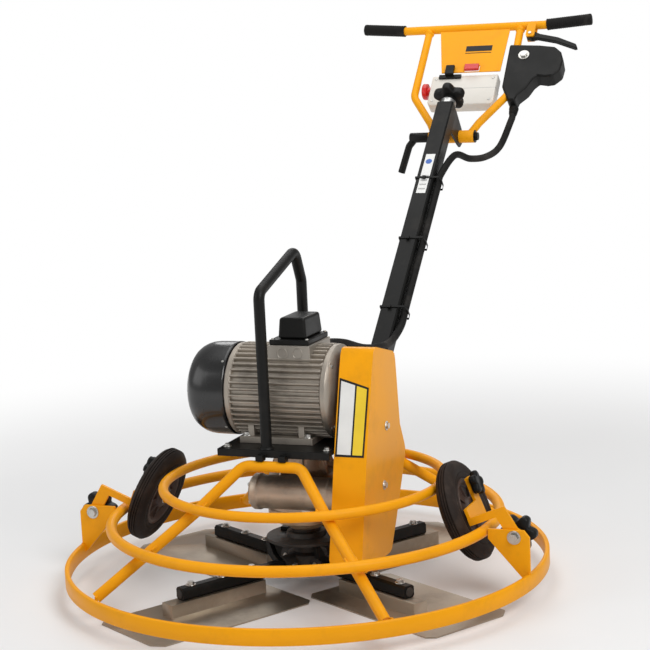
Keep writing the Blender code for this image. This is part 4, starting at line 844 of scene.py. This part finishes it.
world = bpy.data.worlds.new("studio") if not bpy.context.scene.world else bpy.context.scene.world
bpy.context.scene.world = world
world.use_nodes = True
bg = world.node_tree.nodes.get("Background") or world.node_tree.nodes.new("ShaderNodeBackground")
bg.inputs["Color"].default_value = (1.0, 1.0, 1.0, 1.0)
bg.inputs["Strength"].default_value = 0.34
seen = world.node_tree.nodes.new("ShaderNodeBackground")
seen.inputs["Color"].default_value = (1.0, 1.0, 1.0, 1.0)
seen.inputs["Strength"].default_value = 1.0
choose = world.node_tree.nodes.new("ShaderNodeMixShader")
rays = world.node_tree.nodes.new("ShaderNodeLightPath")
world.node_tree.links.new(rays.outputs["Is Camera Ray"], choose.inputs["Fac"])
world.node_tree.links.new(bg.outputs["Background"], choose.inputs[1])
world.node_tree.links.new(seen.outputs["Background"], choose.inputs[2])
sky = next((n for n in world.node_tree.nodes if n.type == "OUTPUT_WORLD"), None) or world.node_tree.nodes.new("ShaderNodeOutputWorld")
world.node_tree.links.new(choose.outputs["Shader"], sky.inputs["Surface"])


def area_light(name, at, to, size, power):
    data = bpy.data.lights.new(name, "AREA")
    data.shape = "RECTANGLE"
    data.size, data.size_y = size
    data.energy = power
    obj = bpy.data.objects.new(name, data)
    bpy.context.scene.collection.objects.link(obj)
    obj.location = at
    obj.rotation_euler = (Vector(at) - Vector(to)).to_track_quat("Z", "Y").to_euler()


area_light("key", (2.6, -2.4, 3.0), (0, 0, 0.3), (2.0, 2.0), 80)
area_light("fill", (-2.8, -2.2, 2.0), (0, 0, 0.4), (2.4, 2.0), 24)
area_light("top", (0.0, 0.4, 3.6), (0, 0, 0.3), (3.0, 3.0), 52)
area_light("back", (-1.2, 3.4, 2.4), (0, 0, 0.6), (2.0, 1.4), 20)

az, el, roll = math.radians(21.31), math.radians(9.22), math.radians(-2.66)
back = Vector((math.sin(az) * math.cos(el), -math.cos(az) * math.cos(el), math.sin(el)))
right0 = Vector((math.cos(az), math.sin(az), 0))
up0 = back.cross(right0)
right = right0 * math.cos(roll) + up0 * math.sin(roll)
up = up0 * math.cos(roll) - right0 * math.sin(roll)
cam_data = bpy.data.cameras.new("camera")
cam_data.sensor_width = 36.0
cam_data.lens = 1732.1 / 650.0 * 36.0
cam_data.clip_end = 60.0
cam = bpy.data.objects.new("camera", cam_data)
bpy.context.scene.collection.objects.link(cam)
loc = Vector((0.059, SHIFT_Y, 0.504)) + back * 3.289
m = Matrix.Identity(4)
for i in range(3):
    m[i][0], m[i][1], m[i][2], m[i][3] = right[i], up[i], back[i], loc[i]
cam.matrix_world = m
bpy.context.scene.camera = cam
bpy.context.scene.view_settings.view_transform = "Standard"
